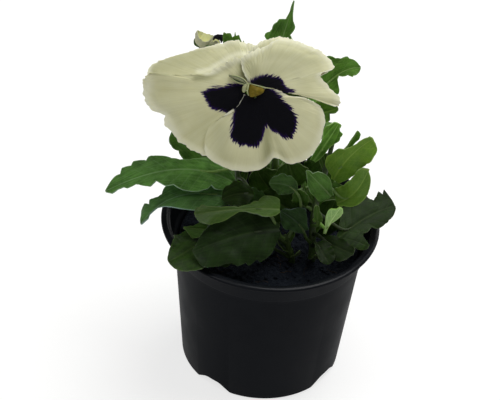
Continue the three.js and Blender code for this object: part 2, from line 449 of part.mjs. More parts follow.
function makeStem({ path, radii, stipules }) {
  const curve = curveThrough(path);
  const leaflets = stipules.map(([at, heading, length]) => {
    const out = new THREE.Vector3(Math.cos(rad(heading)), Math.sin(rad(heading)), 0);
    const base = curve.getPointAt(at);
    const mid = base.clone().addScaledVector(out, length * 0.5).setZ(base.z + length * 0.42);
    const tip = base.clone().addScaledVector(out, length * 0.75).setZ(base.z + length * 0.95);
    const middle = leafMiddle({
      base, mid, tip, face: [-out.x, -out.y, 0.8], width: length * 0.4, teeth: 1, widest: 0.4 });
    return shell(middle, [0, 0.25, 0.5, 0.75, 1], [-1, 0, 1], blade);
  });
  return joined([stalk(curve, radii, { sides: 6, rings: 9 }), ...leaflets]);
}

// Petals, drawn in the bloom's own frame: x to the right, y up the face and z out of it, from the eye.
// Each edge point is x, y and the angle by which the petal bends back there on its way to the edge.
const petals = [
  { name: "petal_lower", claw: [0.5, -2.2, 2.15], lean: [0, 0.1], ruffle: 0.4, edge: [
    [4.6, 1.3, 0], [9.4, 0.2, 0], [14.2, -2.1, 5], [18.9, -2.6, 10], [24.5, -5.3, 20], [27, -12, 30],
    [25.1, -19.3, 25], [21.3, -25.1, 20], [14, -27.9, 20], [8, -25.4, 12], [2.5, -29.9, 18],
    [-4.6, -30.6, 18], [-11.4, -29, 18], [-18.1, -24.3, 15], [-18.7, -19.4, 14], [-17.1, -13.7, 14],
    [-13, -10.6, 12], [-9.3, -8.2, 8], [-5.3, -4.6, 0], [-3.8, -1.4, 0]] },
  { name: "petal_left", claw: [-1.8, 0, -0.4], lean: [0.06, 0], ruffle: 0.4, edge: [
    [-2.6, 5, 0], [-3.8, 9, 5], [-5.4, 11.8, 8], [-7, 12.6, 8], [-10, 11, 8], [-13.3, 9.1, 8],
    [-17.3, 6.9, 8], [-23.6, 6.3, 8], [-31.2, 6.2, 8], [-38, 7, 14], [-41.3, 5.5, 30], [-42.3, 2.7, 40],
    [-41.1, -4.6, 40], [-35.4, -9.1, 36], [-30.9, -16.4, 30], [-25.9, -21.3, 25], [-17.9, -24.4, 20],
    [-11, -22, 10], [-3.5, -6, 0]] },
  { name: "petal_right", claw: [2.4, 1.2, 0.8], lean: [0, -0.05], ruffle: 0.4, bow: 1, edge: [
    [-2.4, 3.6, 0], [-4.1, 7.5, 0], [-4.8, 12, 20], [-3, 13.6, 40], [0.8, 15.6, 50], [5, 17.2, 60],
    [9.1, 19.6, 65], [14.9, 19.1, 60], [21.3, 16.8, 55], [27.4, 13.5, 45], [30.5, 8.8, 30],
    [25.4, 5.5, 10], [29, 1.1, 10], [32.8, -3, 10], [31, -6, 10]] },
  { name: "petal_upper_front", claw: [0.6, 2.2, -2], lean: [0, -0.05], ruffle: 0.5, edge: [
    [-2.6, 9, 10], [-2.4, 13, 45], [0.5, 16.8, 58], [4, 19, 64], [10, 20.4, 68], [15, 19.2, 66],
    [21, 17.2, 50], [27, 13.6, 45], [29.6, 9, 30], [24, 5.2, 10], [15, 3.5, 0]] },
  { name: "petal_upper_back", claw: [0, 2.4, -3.3], lean: [0.1, -0.5], ruffle: 0.6, edge: [
    [-22, 3.5, 0], [-36, 4.5, 5], [-40.3, 6.5, 20], [-37, 10.9, 40], [-29.7, 13.7, 60], [-20.2, 16.2, 60],
    [-13.5, 18, 50], [-6.9, 19.4, 45], [-3.5, 18.4, 40], [2, 17, 40], [8, 11, 30]] },
];

// How far a petal that bends by `angle` reaches out and falls back, after a share of its length.
function bent(angle, share, power = 4.5) {
  const pieces = 16;
  let [out, back, most] = [0, 0, 0];
  const found = { out: 0, back: 0 };
  for (let i = 0; i < pieces; i++) {
    const t = (i + 0.5) / pieces;
    const part = THREE.MathUtils.clamp(share * pieces - i, 0, 1) / pieces;
    found.out += Math.cos(angle * t ** power) * part;
    found.back += Math.sin(angle * t ** power) * part;
    out += Math.cos(angle * t ** power) / pieces;
    back += Math.sin(angle * t ** power) / pieces;
    most = Math.max(most, out);
  }
  return { out: found.out / most, back: found.back / most };
}

// Outlines are drawn as they are seen from so far in front of this place, so what lies further back is
// made larger.
const seen = { from: 600, x: -1.5, y: -41.5 };

function petalMiddle({ claw, lean, edge, ruffle = 0.5, waves = 6, bow = 0 }) {
  const margin = new THREE.CatmullRomCurve3(edge.map(vec), false, "centripetal");
  const root = vec(claw);
  return (u, v) => {
    const goal = margin.getPoint(THREE.MathUtils.clamp(u, 0, 1));
    const ray = new THREE.Vector3(goal.x - root.x, goal.y - root.y, 0);
    const { out, back } = bent(rad(goal.z), v);
    const ripple = ruffle * v ** 4 * Math.sin(2 * Math.PI * waves * u);
    const length = ray.length();
    const p = ray.multiplyScalar(out);
    p.z = lean[0] * p.x + lean[1] * p.y - length * back + ripple;
    p.y += bow * u ** 10 * Math.sin(Math.PI * v);
    p.add(root);
    p.x -= (p.x - seen.x) * p.z / seen.from;
    p.y -= (p.y - seen.y) * p.z / seen.from;
    return p;
  };
}

function makePetal(petal) {
  const steps = petal.edge.length - 1;
  const uStops = Array.from({ length: steps + 1 }, (_, i) => i / steps);
  return shell(petalMiddle(petal), uStops, [0.07, 0.4, 0.68, 0.87, 1], petalThickness);
}

// The throat is a short column with a waxy wedge on it, which the petals' claws stand round.
const throat = {
  wedge: [[-1.6, 2.4], [3.7, 0.6], [3.9, -0.3], [2.4, -1.6], [-1.2, -2.5], [-2.1, -0.9]],
  from: 3, height: 1.2, column: { foot: -3.7, radius: 1.3 },
};

function makeThroat() {
  const outline = new THREE.Shape(throat.wedge.map(([x, y]) => new THREE.Vector2(x, y)));
  const wedge = new THREE.ExtrudeGeometry(outline, { depth: throat.height, bevelEnabled: false });
  const { foot, radius } = throat.column;
  const top = throat.from + throat.height / 2;
  const column = new THREE.CylinderGeometry(radius, radius, top - foot, 9).rotateX(Math.PI / 2);
  return joined([
    solidOf(wedge.translate(0, 0, throat.from)), solidOf(column.translate(0.5, 0.3, (top + foot) / 2))]);
}

// The calyx: a cup behind the throat with five pointed sepals and the spur.
function makeCalyx() {
  const cup = new THREE.SphereGeometry(2.6, 8, 5).scale(1, 1, 0.9).translate(0.5, 0.3, -6.3);
  const sepals = [-6, 66, 138, 210, 282].map((heading, i) => {
    const out = new THREE.Vector3(Math.cos(rad(heading)), Math.sin(rad(heading)), 0);
    const fall = out.y > 0.2 ? 6 : 1.5;
    const longer = i === 0 ? 1.6 : 1;
    const at = (reach, depth) => [0.5 + out.x * reach, 0.3 + out.y * reach, depth];
    const middle = leafMiddle({
      base: at(1.5, -6.6), mid: at(7 * longer, -7 - fall * 0.5), tip: at(13 * longer, -6.6 - fall),
      face: [0, 0, 1], width: 4.6, teeth: 1, depth: 0, widest: 0.35 });
    return shell(middle, [0, 0.2, 0.45, 0.75, 1], [-1, 0, 1], blade);
  });
  const spurLine = curveThrough([[0.5, -1, -7], [0.5, -3.6, -9.5], [0.5, -5, -12.5]]);
  const spur = stalk(spurLine, [1.3, 1], { rings: 4 });
  return joined([solidOf(cup), ...sepals, spur]);
}

// The second bloom is half open, drawn in a frame like the first one's. Each petal goes from its far edge
// over its back to its near edge.
const second = {
  at: [-30.1, 31, 134.7],
  petals: [
    [[[-4.7, 3.9, -0.3], [-2.7, 3.4, -1.8], [-0.6, 2.7, -2], [1.8, 1.8, -0.6]],
      [[-5.5, 2.6, -0.2], [-5.3, -0.8, 0], [-2.6, -3.1, 0], [1.4, -1.8, 0]],
      [[-4.7, 3.9, 0.3], [-4, 0.9, 1.9], [-1, -1, 2.4], [1.8, 1.7, 0.6]]],
    [[[1, 0.5, -0.6], [2.1, 1.7, -0.8], [3.9, 2.3, -0.8], [5.4, 1.8, -0.8], [6.1, 0.2, -0.6]],
      [[1.4, 0.5, 0.5], [2.5, 1.4, 0.7], [3.9, 1.7, 0.7], [5.1, 1.1, 0.7], [5.5, -0.2, 0.5]],
      [[1.7, 0.1, 1.2], [2.6, 0.7, 1.4], [3.7, 0.7, 1.4], [4.4, 0, 1.4], [4.7, -0.8, 1.2]]],
    [[[1.1, -0.7, 0.4], [2.1, 0.4, 0.6], [3.4, 0.2, 0.6], [4.5, -1.1, 0.4]],
      [[1.5, -0.8, 1], [2.3, 0, 1.2], [3.3, -0.2, 1.2], [4.2, -1.4, 1]],
      [[1.9, -0.9, 1.4], [2.5, -0.5, 1.6], [3.1, -0.6, 1.6], [3.9, -1.8, 1.4]]],
  ],
  core: [[-1.6, -2.4, 0], [0.5, -1.9, 0], [2.3, -1.3, 0.2], [4.2, -1.1, 0]], coreRadii: [0.6, 1],
  stub: [[-4.6, -5.2, -0.2], [-3.9, -4.6, -0.1], [-3.1, -4.2, 0]], stubRadii: [0.7, 0.6],
  sepals: [
    [[-3.8, -4.6, 0.3], [-1.2, -4.5, 0.9], [1.3, -3.5, 1.2]],
    [[-3.8, -4.6, -0.4], [-1.2, -4.5, -1], [1.3, -3.5, -1.4]]],
  sepalWidth: 2,
};

function wrapped(curves) {
  const [far, back, near] = curves.map(curveThrough);
  return (u, v) => far.getPointAt(u).multiplyScalar((1 - v) * (1 - 2 * v))
    .addScaledVector(back.getPointAt(u), 4 * v * (1 - v))
    .addScaledVector(near.getPointAt(u), v * (2 * v - 1));
}

function makeSecondBloom() {
  const folded = second.petals.map((curves) =>
    shell(wrapped(curves), [0, 0.25, 0.5, 0.75, 1], [0, 0.25, 0.5, 0.75, 1], blade));
  return joined([...folded, stalk(curveThrough(second.core), second.coreRadii, { sides: 6, rings: 5 })]);
}

function makeSecondCalyx() {
  const shape = { face: [0, 1, 0], width: second.sepalWidth, teeth: 1, depth: 0, widest: 0.4 };
  const sepals = second.sepals.map(([base, mid, tip]) =>
    shell(leafMiddle({ base, mid, tip, ...shape }), [0, 0.3, 0.65, 1], [-1, 0, 1], blade));
  return joined([stalk(curveThrough(second.stub), second.stubRadii, { sides: 6, rings: 3 }), ...sepals]);
}

const plant = new THREE.Group();
plant.name = "potted_pansy";
part("pot", makePot(), colours.plastic, plant);
const burrow = (stem) => stalk(
  curveThrough([[stem.path[0][0], stem.path[0][1], stem.path[0][2] - seat], ...stem.path.slice(1)]),
  stem.radii, { sides: 6, rings: 9, widen: seat });
part("soil", makeSoil(Object.values(stems).map(burrow)), colours.peat, plant);
for (const [name, stem] of Object.entries(stems))
  part("stem_" + name, makeStem(stem), colours.stem, plant);
for (const leaf of leaves)
  part(leaf.name, makeLeaf(leaf), leaf.young ? colours.youngLeaf : colours.leaf, plant);

const face = new THREE.Group();
face.position.set(...bloom.eye);
face.rotation.set(rad(bloom.faceTilt), 0, rad(bloom.roll));
plant.add(face);
for (const petal of petals) part(petal.name, makePetal(petal), colours.petal, face);
part("throat", makeThroat(), colours.throat, face);
part("calyx", makeCalyx(), colours.leaf, face);

const secondFace = new THREE.Group();
secondFace.position.set(...second.at);
secondFace.rotation.copy(face.rotation);
plant.add(secondFace);
part("second_bloom", makeSecondBloom(), colours.fadedPetal, secondFace);
part("second_calyx", makeSecondCalyx(), colours.leaf, secondFace);

// The bloom's stalk leaves the back stem and rises to the calyx.
const stalks = {
  bloom_stalk: { from: ["back", 0.37],
    path: [[-4, 10.5, 96], [-8, 9.4, 112], [-10, 7, 124], [-10.2, 5.2, 129], [-10.2, 2.9, 131]] },
  bud_stalk: { from: ["back", 0.7],
    path: [[-12, 24, 112], [-22, 28, 117], [-31, 29, 122.5], [-34.4, 28, 127], [-34.7, 27.5, 129.2]] },
};
for (const [name, { from: [stem, at], path }] of Object.entries(stalks)) {
  const joint = curveThrough(stems[stem].path).getPointAt(at);
  const radius = 0.95;
  const out = vec(path[0]).sub(joint).setZ(0).normalize();
  const stemRadius = THREE.MathUtils.lerp(...stems[stem].radii, at);
  const foot = joint.addScaledVector(out, stemRadius + seat + radius);
  const line = curveThrough([foot.toArray(), ...path]);
  part(name, stalk(line, [radius, 0.8], { rings: 12 }), colours.stem, plant);
}

export default plant;
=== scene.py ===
import math
import random
from functools import partial
import bpy
import numpy as np
from mathutils import Matrix, Vector, noise


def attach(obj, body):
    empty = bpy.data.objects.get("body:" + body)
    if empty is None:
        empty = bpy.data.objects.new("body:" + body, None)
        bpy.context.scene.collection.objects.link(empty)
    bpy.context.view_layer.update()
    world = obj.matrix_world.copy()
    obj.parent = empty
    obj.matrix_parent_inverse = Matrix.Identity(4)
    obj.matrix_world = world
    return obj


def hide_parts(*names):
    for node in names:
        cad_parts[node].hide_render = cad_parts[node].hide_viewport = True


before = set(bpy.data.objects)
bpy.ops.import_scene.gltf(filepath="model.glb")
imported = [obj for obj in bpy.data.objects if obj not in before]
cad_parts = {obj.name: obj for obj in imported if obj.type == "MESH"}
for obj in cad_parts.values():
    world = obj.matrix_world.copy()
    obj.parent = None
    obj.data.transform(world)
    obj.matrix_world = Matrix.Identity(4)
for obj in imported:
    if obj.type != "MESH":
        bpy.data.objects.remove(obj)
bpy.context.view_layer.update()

mm = 0.001
random.seed(7)

# The camera stands where the photograph was taken from, with a long lens.
view = {"target": (-9, 0, 79.4), "distance": 600, "elevation": 37.74, "roll": 4.26, "lens": 106.1,
        "film": 36}


def placeCamera():
    data = bpy.data.cameras.new("camera")
    data.lens = view["lens"]
    data.sensor_width = view["film"]
    camera = bpy.data.objects.new("camera", data)
    bpy.context.collection.objects.link(camera)
    lift = math.radians(view["elevation"])
    back = Vector((0, -math.cos(lift), math.sin(lift)))
    camera.location = (Vector(view["target"]) + back * view["distance"]) * mm
    turn = Matrix.Rotation(math.pi / 2 - lift, 3, "X") @ Matrix.Rotation(math.radians(view["roll"]), 3, "Z")
    camera.rotation_euler = turn.to_euler()
    bpy.context.scene.camera = camera


placeCamera()
print("camera placed")


# Materials
def linear(code):
    parts = [int(code[i:i + 2], 16) / 255 for i in (1, 3, 5)]
    return (*(c / 12.92 if c <= 0.04045 else ((c + 0.055) / 1.055) ** 2.4 for c in parts), 1)


def addNode(tree, kind, inputs=(), out=0, **settings):
    # Inputs go by name or number, or as a row in the sockets' order. The output asked for is returned.
    node = tree.nodes.new("ShaderNode" + kind)
    for name, value in settings.items():
        setattr(node, name, value)
    for key, value in inputs.items() if isinstance(inputs, dict) else enumerate(inputs):
        if isinstance(value, bpy.types.NodeSocket):
            tree.links.new(value, node.inputs[key])
        else:
            node.inputs[key].default_value = value
    return node.outputs[out] if len(node.outputs) else None


blend = {"out": 2, "data_type": "RGBA"}
softly = {"interpolation_type": "SMOOTHSTEP"}


def newMaterial(name):
    material = bpy.data.materials.new(name)
    material.use_nodes = True
    material.node_tree.nodes.clear()
    return material, partial(addNode, material.node_tree)


def closeMaterial(add, shaderInputs, height=None, depth=0.1):
    # depth is how far the bump stands up, in millimetres.
    if height is not None:
        shaderInputs["Normal"] = add("Bump", {"Height": height, "Distance": depth * mm, "Strength": 1.0})
    add("OutputMaterial", {"Surface": add("BsdfPrincipled", shaderInputs)})


# Injection-moulded polypropylene: black with a satin skin that greys towards grazing light, fine moulding
# grain, faint upright drag marks from the mould and a little dust.
def makePotMaterial(name, specular, rough):
    material, add = newMaterial(name)
    place = add("TexCoord", out="Object")
    grain = add("TexNoise", {"Vector": place, "Scale": 1 / (0.5 * mm), "Detail": 3.0})
    upright = add("Mapping", {"Vector": place, "Scale": (1 / (0.8 * mm), 1 / (0.8 * mm), 1 / (40 * mm))})
    drag = add("TexNoise", {"Vector": upright, "Scale": 1.0, "Detail": 2.0})
    dust = add("TexNoise", {"Vector": place, "Scale": 1 / (14 * mm), "Detail": 6.0})
    dusty = add("MapRange", (dust, 0.45, 0.8, 0, 0.35))
    colour = add("Mix", {0: dusty, 6: linear("#101216"), 7: linear("#1E2023")}, **blend)
    sheen = add("MapRange", (dust, 0.3, 0.7, *rough))
    height = add("Math", (grain, drag), operation="ADD")
    closeMaterial(add, {
        "Base Color": colour, "Roughness": sheen, "IOR": 1.49, "Specular IOR Level": specular}, height, 0.02)
    return material


# Moist milled peat: nearly black, matt, with brown fibres and crumbs of about a millimetre.
def makePeatMaterial(name, dark, light):
    material, add = newMaterial(name)
    place = add("TexCoord", out="Object")
    lumps = add("TexNoise", {"Vector": place, "Scale": 1 / (2.2 * mm), "Detail": 8.0, "Roughness": 0.7})
    fine = add("TexVoronoi", {"Vector": place, "Scale": 1 / (0.9 * mm)})
    share = add("MapRange", (lumps, 0.45, 0.75))
    colour = add("Mix", {0: share, 6: linear(dark), 7: linear(light)}, **blend)
    height = add("Math", (lumps, fine), operation="SUBTRACT")
    closeMaterial(add, {"Base Color": colour, "Roughness": 0.95, "Specular IOR Level": 0.25}, height, 0.6)
    return material


# A living leaf: green cuticle with a soft gloss, pale midrib, side veins that arc to the teeth, a fine net
# of veins between them and a thin pale margin. The underside is greyer, with the veins standing out.
def makeLeafMaterial(name, look):
    material, add = newMaterial(name)
    place = add("TexCoord", out="Object")
    tone, edge, fromRib, phase, pitch, cool = (
        add("Attribute", out="Fac", attribute_name=painted)
        for painted in ("tone", "edgeDistance", "ribDistance", "veinPhase", "veinPitch", "cool"))
    patches = add("TexNoise", {"Vector": place, "Scale": 1 / (5 * mm), "Detail": 4.0})
    lengthwise = add("CombineXYZ", (fromRib, phase, tone))
    streaks = add("Mapping", {"Vector": lengthwise, "Scale": (1.1, 0.35, 5)})
    streaky = add("TexNoise", {"Vector": streaks, "Scale": 1.0, "Detail": 3.0})
    mottle = add("Math", (patches, streaky), operation="ADD")
    mottle = add("MapRange", (mottle, 0.7, 1.3))
    cells = add("TexVoronoi", {"Vector": place, "Scale": 1 / (1.5 * mm)}, feature="DISTANCE_TO_EDGE")
    wave = add("Math", (phase, 0.5), operation="PINGPONG")
    apart = add("Math", (wave, pitch), operation="MULTIPLY")
    rib = add("MapRange", (fromRib, 0.15, 0.65, 1, 0), **softly)
    side = add("MapRange", (apart, 0.08, 0.5, 1, 0), **softly)
    net = add("MapRange", (cells, 0, 0.09, 1, 0))
    margin = add("MapRange", (edge, 0.1, 0.45, 1, 0))
    colour = add("Mix", {0: mottle, 6: linear(look["dark"]), 7: linear(look["light"])}, **blend)
    netted, sided, ribbed, edged = (
        add("Math", (mask, look[key]), operation="MULTIPLY")
        for mask, key in ((net, "net"), (side, "side"), (rib, "rib"), (margin, "margin")))
    veins = add("Math", (netted, sided), operation="MAXIMUM")
    veins = add("Math", (veins, ribbed), operation="MAXIMUM")
    for share in (veins, edged):
        colour = add("Mix", {0: share, 6: colour, 7: linear(look["vein"])}, **blend)
    # Painted light and shade: the colour is scaled by each piece's brightness factor, set for how lit or
    # shaded it stands and partly for a leaf's age.
    paintedLightColour = add("VectorMath", {0: colour, "Scale": tone}, operation="SCALE")
    cooled = add("CombineXYZ", (1, 1, cool))
    shaded = add("VectorMath", (paintedLightColour, cooled), operation="MULTIPLY")
    puff = add("Math", (net, -0.25), operation="MULTIPLY")
    groove = add("Math", (side, -0.4, puff), operation="MULTIPLY_ADD")
    fine = add("TexNoise", {"Vector": place, "Scale": 1 / (0.35 * mm), "Detail": 2.0})
    height = add("Math", (fine, 0.25, groove), operation="MULTIPLY_ADD")
    closeMaterial(add, {
        "Base Color": shaded, "Roughness": look["rough"], "IOR": 1.45, "Specular IOR Level": look["gloss"],
        "Subsurface Weight": 0.12, "Subsurface Radius": (0.4, 1.0, 0.15), "Subsurface Scale": mm},
        height, look["relief"])
    return material


leafLooks = {
    "leafBlade": {"dark": "#315015", "light": "#527C28", "vein": "#7C9750", "net": 0.08, "side": 0.12,
                  "rib": 0.45, "margin": 0.4, "rough": 0.52, "relief": 0.1, "gloss": 0.13},
    "leafUnderside": {"dark": "#5E7A46", "light": "#708C54", "vein": "#9AAE78", "net": 0.25, "side": 0.35,
                      "rib": 0.7, "margin": 0.3, "rough": 0.62, "relief": -0.1, "gloss": 0.15},
    "youngBlade": {"dark": "#4F7423", "light": "#65892E", "vein": "#90AA52", "net": 0.1, "side": 0.12,
                   "rib": 0.5, "margin": 0.45, "rough": 0.46, "relief": 0.1, "gloss": 0.22},
}


# Flower stems: smooth, juicy green with fine lengthwise ribs.
def makeStemMaterial(name, dark, light):
    material, add = newMaterial(name)
    place = add("TexCoord", out="Object")
    tone = add("Attribute", out="Fac", attribute_name="tone")
    long = add("Mapping", {"Vector": place, "Scale": (1 / (0.35 * mm), 1 / (0.35 * mm), 1 / (9 * mm))})
    ribs = add("TexNoise", {"Vector": long, "Scale": 1.0, "Detail": 2.0})
    patches = add("TexNoise", {"Vector": place, "Scale": 1 / (6 * mm), "Detail": 3.0})
    share = add("Math", (ribs, patches), operation="MULTIPLY")
    colour = add("Mix", {0: share, 6: linear(dark), 7: linear(light)}, **blend)
    # Painted shade: the colour is scaled by each piece's brightness factor, which darkens the pieces that
    # stand in shade.
    shaded = add("VectorMath", {0: colour, "Scale": tone}, operation="SCALE")
    closeMaterial(add, {
        "Base Color": shaded, "Roughness": 0.45, "IOR": 1.45, "Subsurface Weight": 0.15,
        "Subsurface Radius": (0.5, 1.0, 0.2), "Subsurface Scale": mm}, ribs, 0.08)
    return material


# Pansy petal: cream, velvety, faintly ribbed from the claw to the margin, with a paler thin edge that carries
# a painted highlight as well. Olive strokes paint shade into its creases and folds and pale strokes paint
# highlights on its lit folds. The dark blotch is almost black with a violet fringe that runs out in fine
# spikes along the ribs.
def makePetalMaterial(name, look):
    material, add = newMaterial(name)
    place = add("TexCoord", out="Object")
    heading, reach, inside, edge, rimward, olive, pale = (
        add("Attribute", out="Fac", attribute_name=painted)
        for painted in ("heading", "reach", "inBlotch", "edgeDistance", "marginDistance", "olive", "pale"))
    polar = add("CombineXYZ", (heading, reach))
    wide = add("Mapping", {"Vector": polar, "Scale": (13, 0.04, 1)})
    ribs = add("TexNoise", {"Vector": wide, "Scale": 1.0, "Detail": 3.0})
    narrow = add("Mapping", {"Vector": polar, "Scale": (52, 0.06, 1)})
    fine = add("TexNoise", {"Vector": narrow, "Scale": 1.0, "Detail": 2.0})
    spikes = add("Mapping", {"Vector": polar, "Scale": (33, 0.16, 1)})
    spiky = add("TexNoise", {"Vector": spikes, "Scale": 1.0, "Detail": 3.0, "Roughness": 0.6})
    clouds = add("TexNoise", {"Vector": place, "Scale": 1 / (9 * mm), "Detail": 4.0})
    ribbed = add("MapRange", (ribs, 0.3, 0.75))
    thin = add("MapRange", (fine, 0.52, 0.75, 0, 0.14))
    cloudy = add("MapRange", (clouds, 0.4, 0.75, 0, 0.4))
    streaked = add("MapRange", (fine, 0.3, 0.65, 0.8))
    # Painted shade: olive strokes darken creases, the places under overhanging margins and streaks below the
    # lower petal's notch; near the claw the olive is also the petal's own.
    paintedShadeTint = add("Math", (olive, streaked), operation="MULTIPLY")
    margin = add("MapRange", (rimward, 0.3, 3.4, 0.5, 0), **softly)
    centred = add("Math", (spiky, -0.5), operation="ADD")
    into = add("Math", (centred, look["spikes"], inside), operation="MULTIPLY_ADD")
    halo = add("MapRange", (into, -0.8, 0.1, 0, 0.15))
    core = add("MapRange", (into, 0, 1.1))
    dark = add("Mix", {0: core, 6: linear("#280E50"), 7: linear("#030309")}, **blend)
    blotch = add("MapRange", (into, -0.06, 0.1))
    # A pale thin edge, partly the paler margin and partly a painted highlight, taken away where painted shade
    # lies.
    paleEdgeAndHighlight = add("MapRange", (edge, 0.02, 0.2, 0.7, 0))
    plain = add("Math", (1, olive), operation="SUBTRACT", use_clamp=True)
    paleEdgeAndHighlight = add("Math", (paleEdgeAndHighlight, plain), operation="MULTIPLY")
    colour = linear(look["light"])
    for share, over in (
            (ribbed, linear(look["shade"])), (thin, linear(look["line"])), (cloudy, linear(look["line"])),
            (paintedShadeTint, linear(look["olive"])), (margin, linear(look["rim"])), (pale, linear(look["rim"])),
            (halo, linear("#7A6A8C")), (blotch, dark), (paleEdgeAndHighlight, linear(look["rim"]))):
        colour = add("Mix", {0: share, 6: colour, 7: over}, **blend)
    height = add("Math", (ribs, 0.8, fine), operation="MULTIPLY_ADD")
    closeMaterial(add, {
        "Base Color": colour, "Roughness": 0.65, "Specular IOR Level": 0.1, "Subsurface Weight": 0.15,
        "Subsurface Radius": (1.0, 0.9, 0.5), "Subsurface Scale": mm}, height, 0.07)
    return material


# In each look the olive colour is that of the painted shade, and rim is that of the paler margin and of the
# painted highlights.
petalLooks = {
    "pansyPetal": {"light": "#D6D5B0", "shade": "#CDCBA3", "line": "#BFBD90", "rim": "#ECEBD4",
                   "olive": "#82835A", "spikes": 4.6},
    "fadingPetal": {"light": "#E2E293", "shade": "#CFD06C", "line": "#A9B44E", "rim": "#D6D6AC",
                    "olive": "#B4B878", "spikes": 2.0},
    "witheredPetal": {"light": "#C6C6A8", "shade": "#A6A78A", "line": "#6E705A", "rim": "#D2D2B4",
                 "olive": "#7C7E62", "spikes": 2.0},
}


# Throat: waxy ochre, mottled darker and lighter, with grains of pollen.
def makeThroatMaterial():
    material, add = newMaterial("throatWax")
    place = add("TexCoord", out="Object")
    patches = add("TexNoise", {"Vector": place, "Scale": 1 / (1.6 * mm), "Detail": 3.0})
    grains = add("TexVoronoi", {"Vector": place, "Scale": 1 / (0.45 * mm)})
    colour = add("Mix", {0: patches, 6: linear("#493F0A"), 7: linear("#84721B")}, **blend)
    closeMaterial(add, {
        "Base Color": colour, "Roughness": 0.5, "Specular IOR Level": 0.15, "Subsurface Weight": 0.1,
        "Subsurface Radius": (1.0, 0.7, 0.2), "Subsurface Scale": mm}, grains, 0.08)
    return material


materials = {
    "pot": makePotMaterial("mouldedPolypropylene", 0.03, (0.46, 0.58)),
    "potLip": makePotMaterial("polishedPolypropylene", 0.11, (0.2, 0.3)),
    "peat": makePeatMaterial("milledPeat", "#0B121C", "#1F252D"),
    "fibre": makePeatMaterial("peatFibre", "#2A1E14", "#4A3826"),
    "stem": makeStemMaterial("stemSkin", "#456B28", "#9DB565"),
    "claw": makeStemMaterial("petalClaw", "#8E9460", "#D5D7AC"),
    "throat": makeThroatMaterial(),
}
for name, look in petalLooks.items():
    materials[name] = makePetalMaterial(name, look)
for name, look in leafLooks.items():
    materials[name] = makeLeafMaterial(name, look)
print("materials made")


# Shapes
def unit(rows):
    return rows / np.maximum(np.linalg.norm(rows, axis=-1, keepdims=True), 1e-9)


def smoothStep(x, a, b):
    t = np.clip((x - a) / (b - a), 0, 1)
    return t * t * (3 - 2 * t)


def noiseOver(*axes):
    return np.array([noise.noise(Vector(place)) for place in np.broadcast(*axes)])


def curvePoints(points, shares):
    # The smooth centripetal curve through the points, read at even shares of its parameter.
    points = np.array(points, float)
    ends = np.vstack([2 * points[0] - points[1], points, 2 * points[-1] - points[-2]])
    place = np.clip(np.asarray(shares, float), 0, 1) * (len(points) - 1)
    first = np.minimum(place.astype(int), len(points) - 2)
    t = (place - first)[:, None]
    p0, p1, p2, p3 = (ends[first + k] for k in range(4))
    d0, d1, d2 = (np.maximum(np.linalg.norm(b - a, axis=1, keepdims=True), 1e-6) ** 0.5
                  for a, b in ((p0, p1), (p1, p2), (p2, p3)))
    slope1 = ((p1 - p0) / d0 - (p2 - p0) / (d0 + d1) + (p2 - p1) / d1) * d1
    slope2 = ((p2 - p1) / d1 - (p3 - p1) / (d1 + d2) + (p3 - p2) / d2) * d1
    return (p1 + slope1 * t + (3 * (p2 - p1) - 2 * slope1 - slope2) * t ** 2
            + (2 * (p1 - p2) + slope1 + slope2) * t ** 3)


def evenPoints(points, shares):
    # The same curve, read at even shares of its length.
    steps = np.linspace(0, 1, 401)
    line = curvePoints(points, steps)
    run = np.concatenate([[0], np.cumsum(np.linalg.norm(np.diff(line, axis=0), axis=1))])
    return curvePoints(points, np.interp(np.asarray(shares) * run[-1], run, steps))


def throughThree(a, b, c, t):
    # The parabola through three points, or three rows of points.
    return a * (1 - t) * (1 - 2 * t) + 4 * b * t * (1 - t) + c * t * (2 * t - 1)


def normalsOf(surface, u, v, step=1e-3):
    # The unit normals of a surface that is a function of u and v.
    ahead = surface(np.clip(u + step, 0, 1), v) - surface(np.clip(u - step, 0, 1), v)
    across = surface(u, v + step) - surface(u, v - step)
    return unit(np.cross(across, ahead))


def newPrimitive(kind, name, **settings):
    # Only the new primitive is left selected.
    bpy.ops.object.select_all(action="DESELECT")
    getattr(bpy.ops.mesh, f"primitive_{kind}_add")(**settings)
    piece = bpy.context.object
    piece.name = name
    piece.data.name = name
    return piece


def startSheet(name, columns, rows):
    # A grid to be shaped, and for each vertex u from 0 to 1 along it and v from -1 to 1 across it.
    piece = newPrimitive("grid", name, x_subdivisions=columns, y_subdivisions=rows, size=2)
    flat = np.empty(len(piece.data.vertices) * 3)
    piece.data.vertices.foreach_get("co", flat)
    flat = flat.reshape(-1, 3)
    return piece, (flat[:, 0] + 1) / 2, flat[:, 1]


def placeVertices(piece, points):
    piece.data.vertices.foreach_set("co", (points * mm).ravel())
    piece.data.update()


def paint(piece, **values):
    for name, value in values.items():
        layer = piece.data.attributes.new(name, "FLOAT", "POINT")
        layer.data.foreach_set("value", np.broadcast_to(value, len(piece.data.vertices)).astype(float))


def choose(*pieces):
    bpy.ops.object.select_all(action="DESELECT")
    for piece in pieces:
        piece.select_set(True)
    bpy.context.view_layer.objects.active = pieces[0]


def modify(piece, kind, **settings):
    choose(piece)
    modifier = piece.modifiers.new(kind.lower(), kind)
    for name, value in settings.items():
        setattr(modifier, name, value)
    bpy.ops.object.modifier_apply(modifier=modifier.name)


def thicken(piece, thickness):
    # Its underside takes the first material and its upper face the second.
    for _ in range(2):
        piece.data.materials.append(None)
    modify(piece, "SOLIDIFY", thickness=thickness * mm, offset=0, material_offset=1, use_even_offset=False)
    return piece


def soften(piece, angle=55):
    choose(piece)
    bpy.ops.object.shade_smooth_by_angle(angle=math.radians(angle))


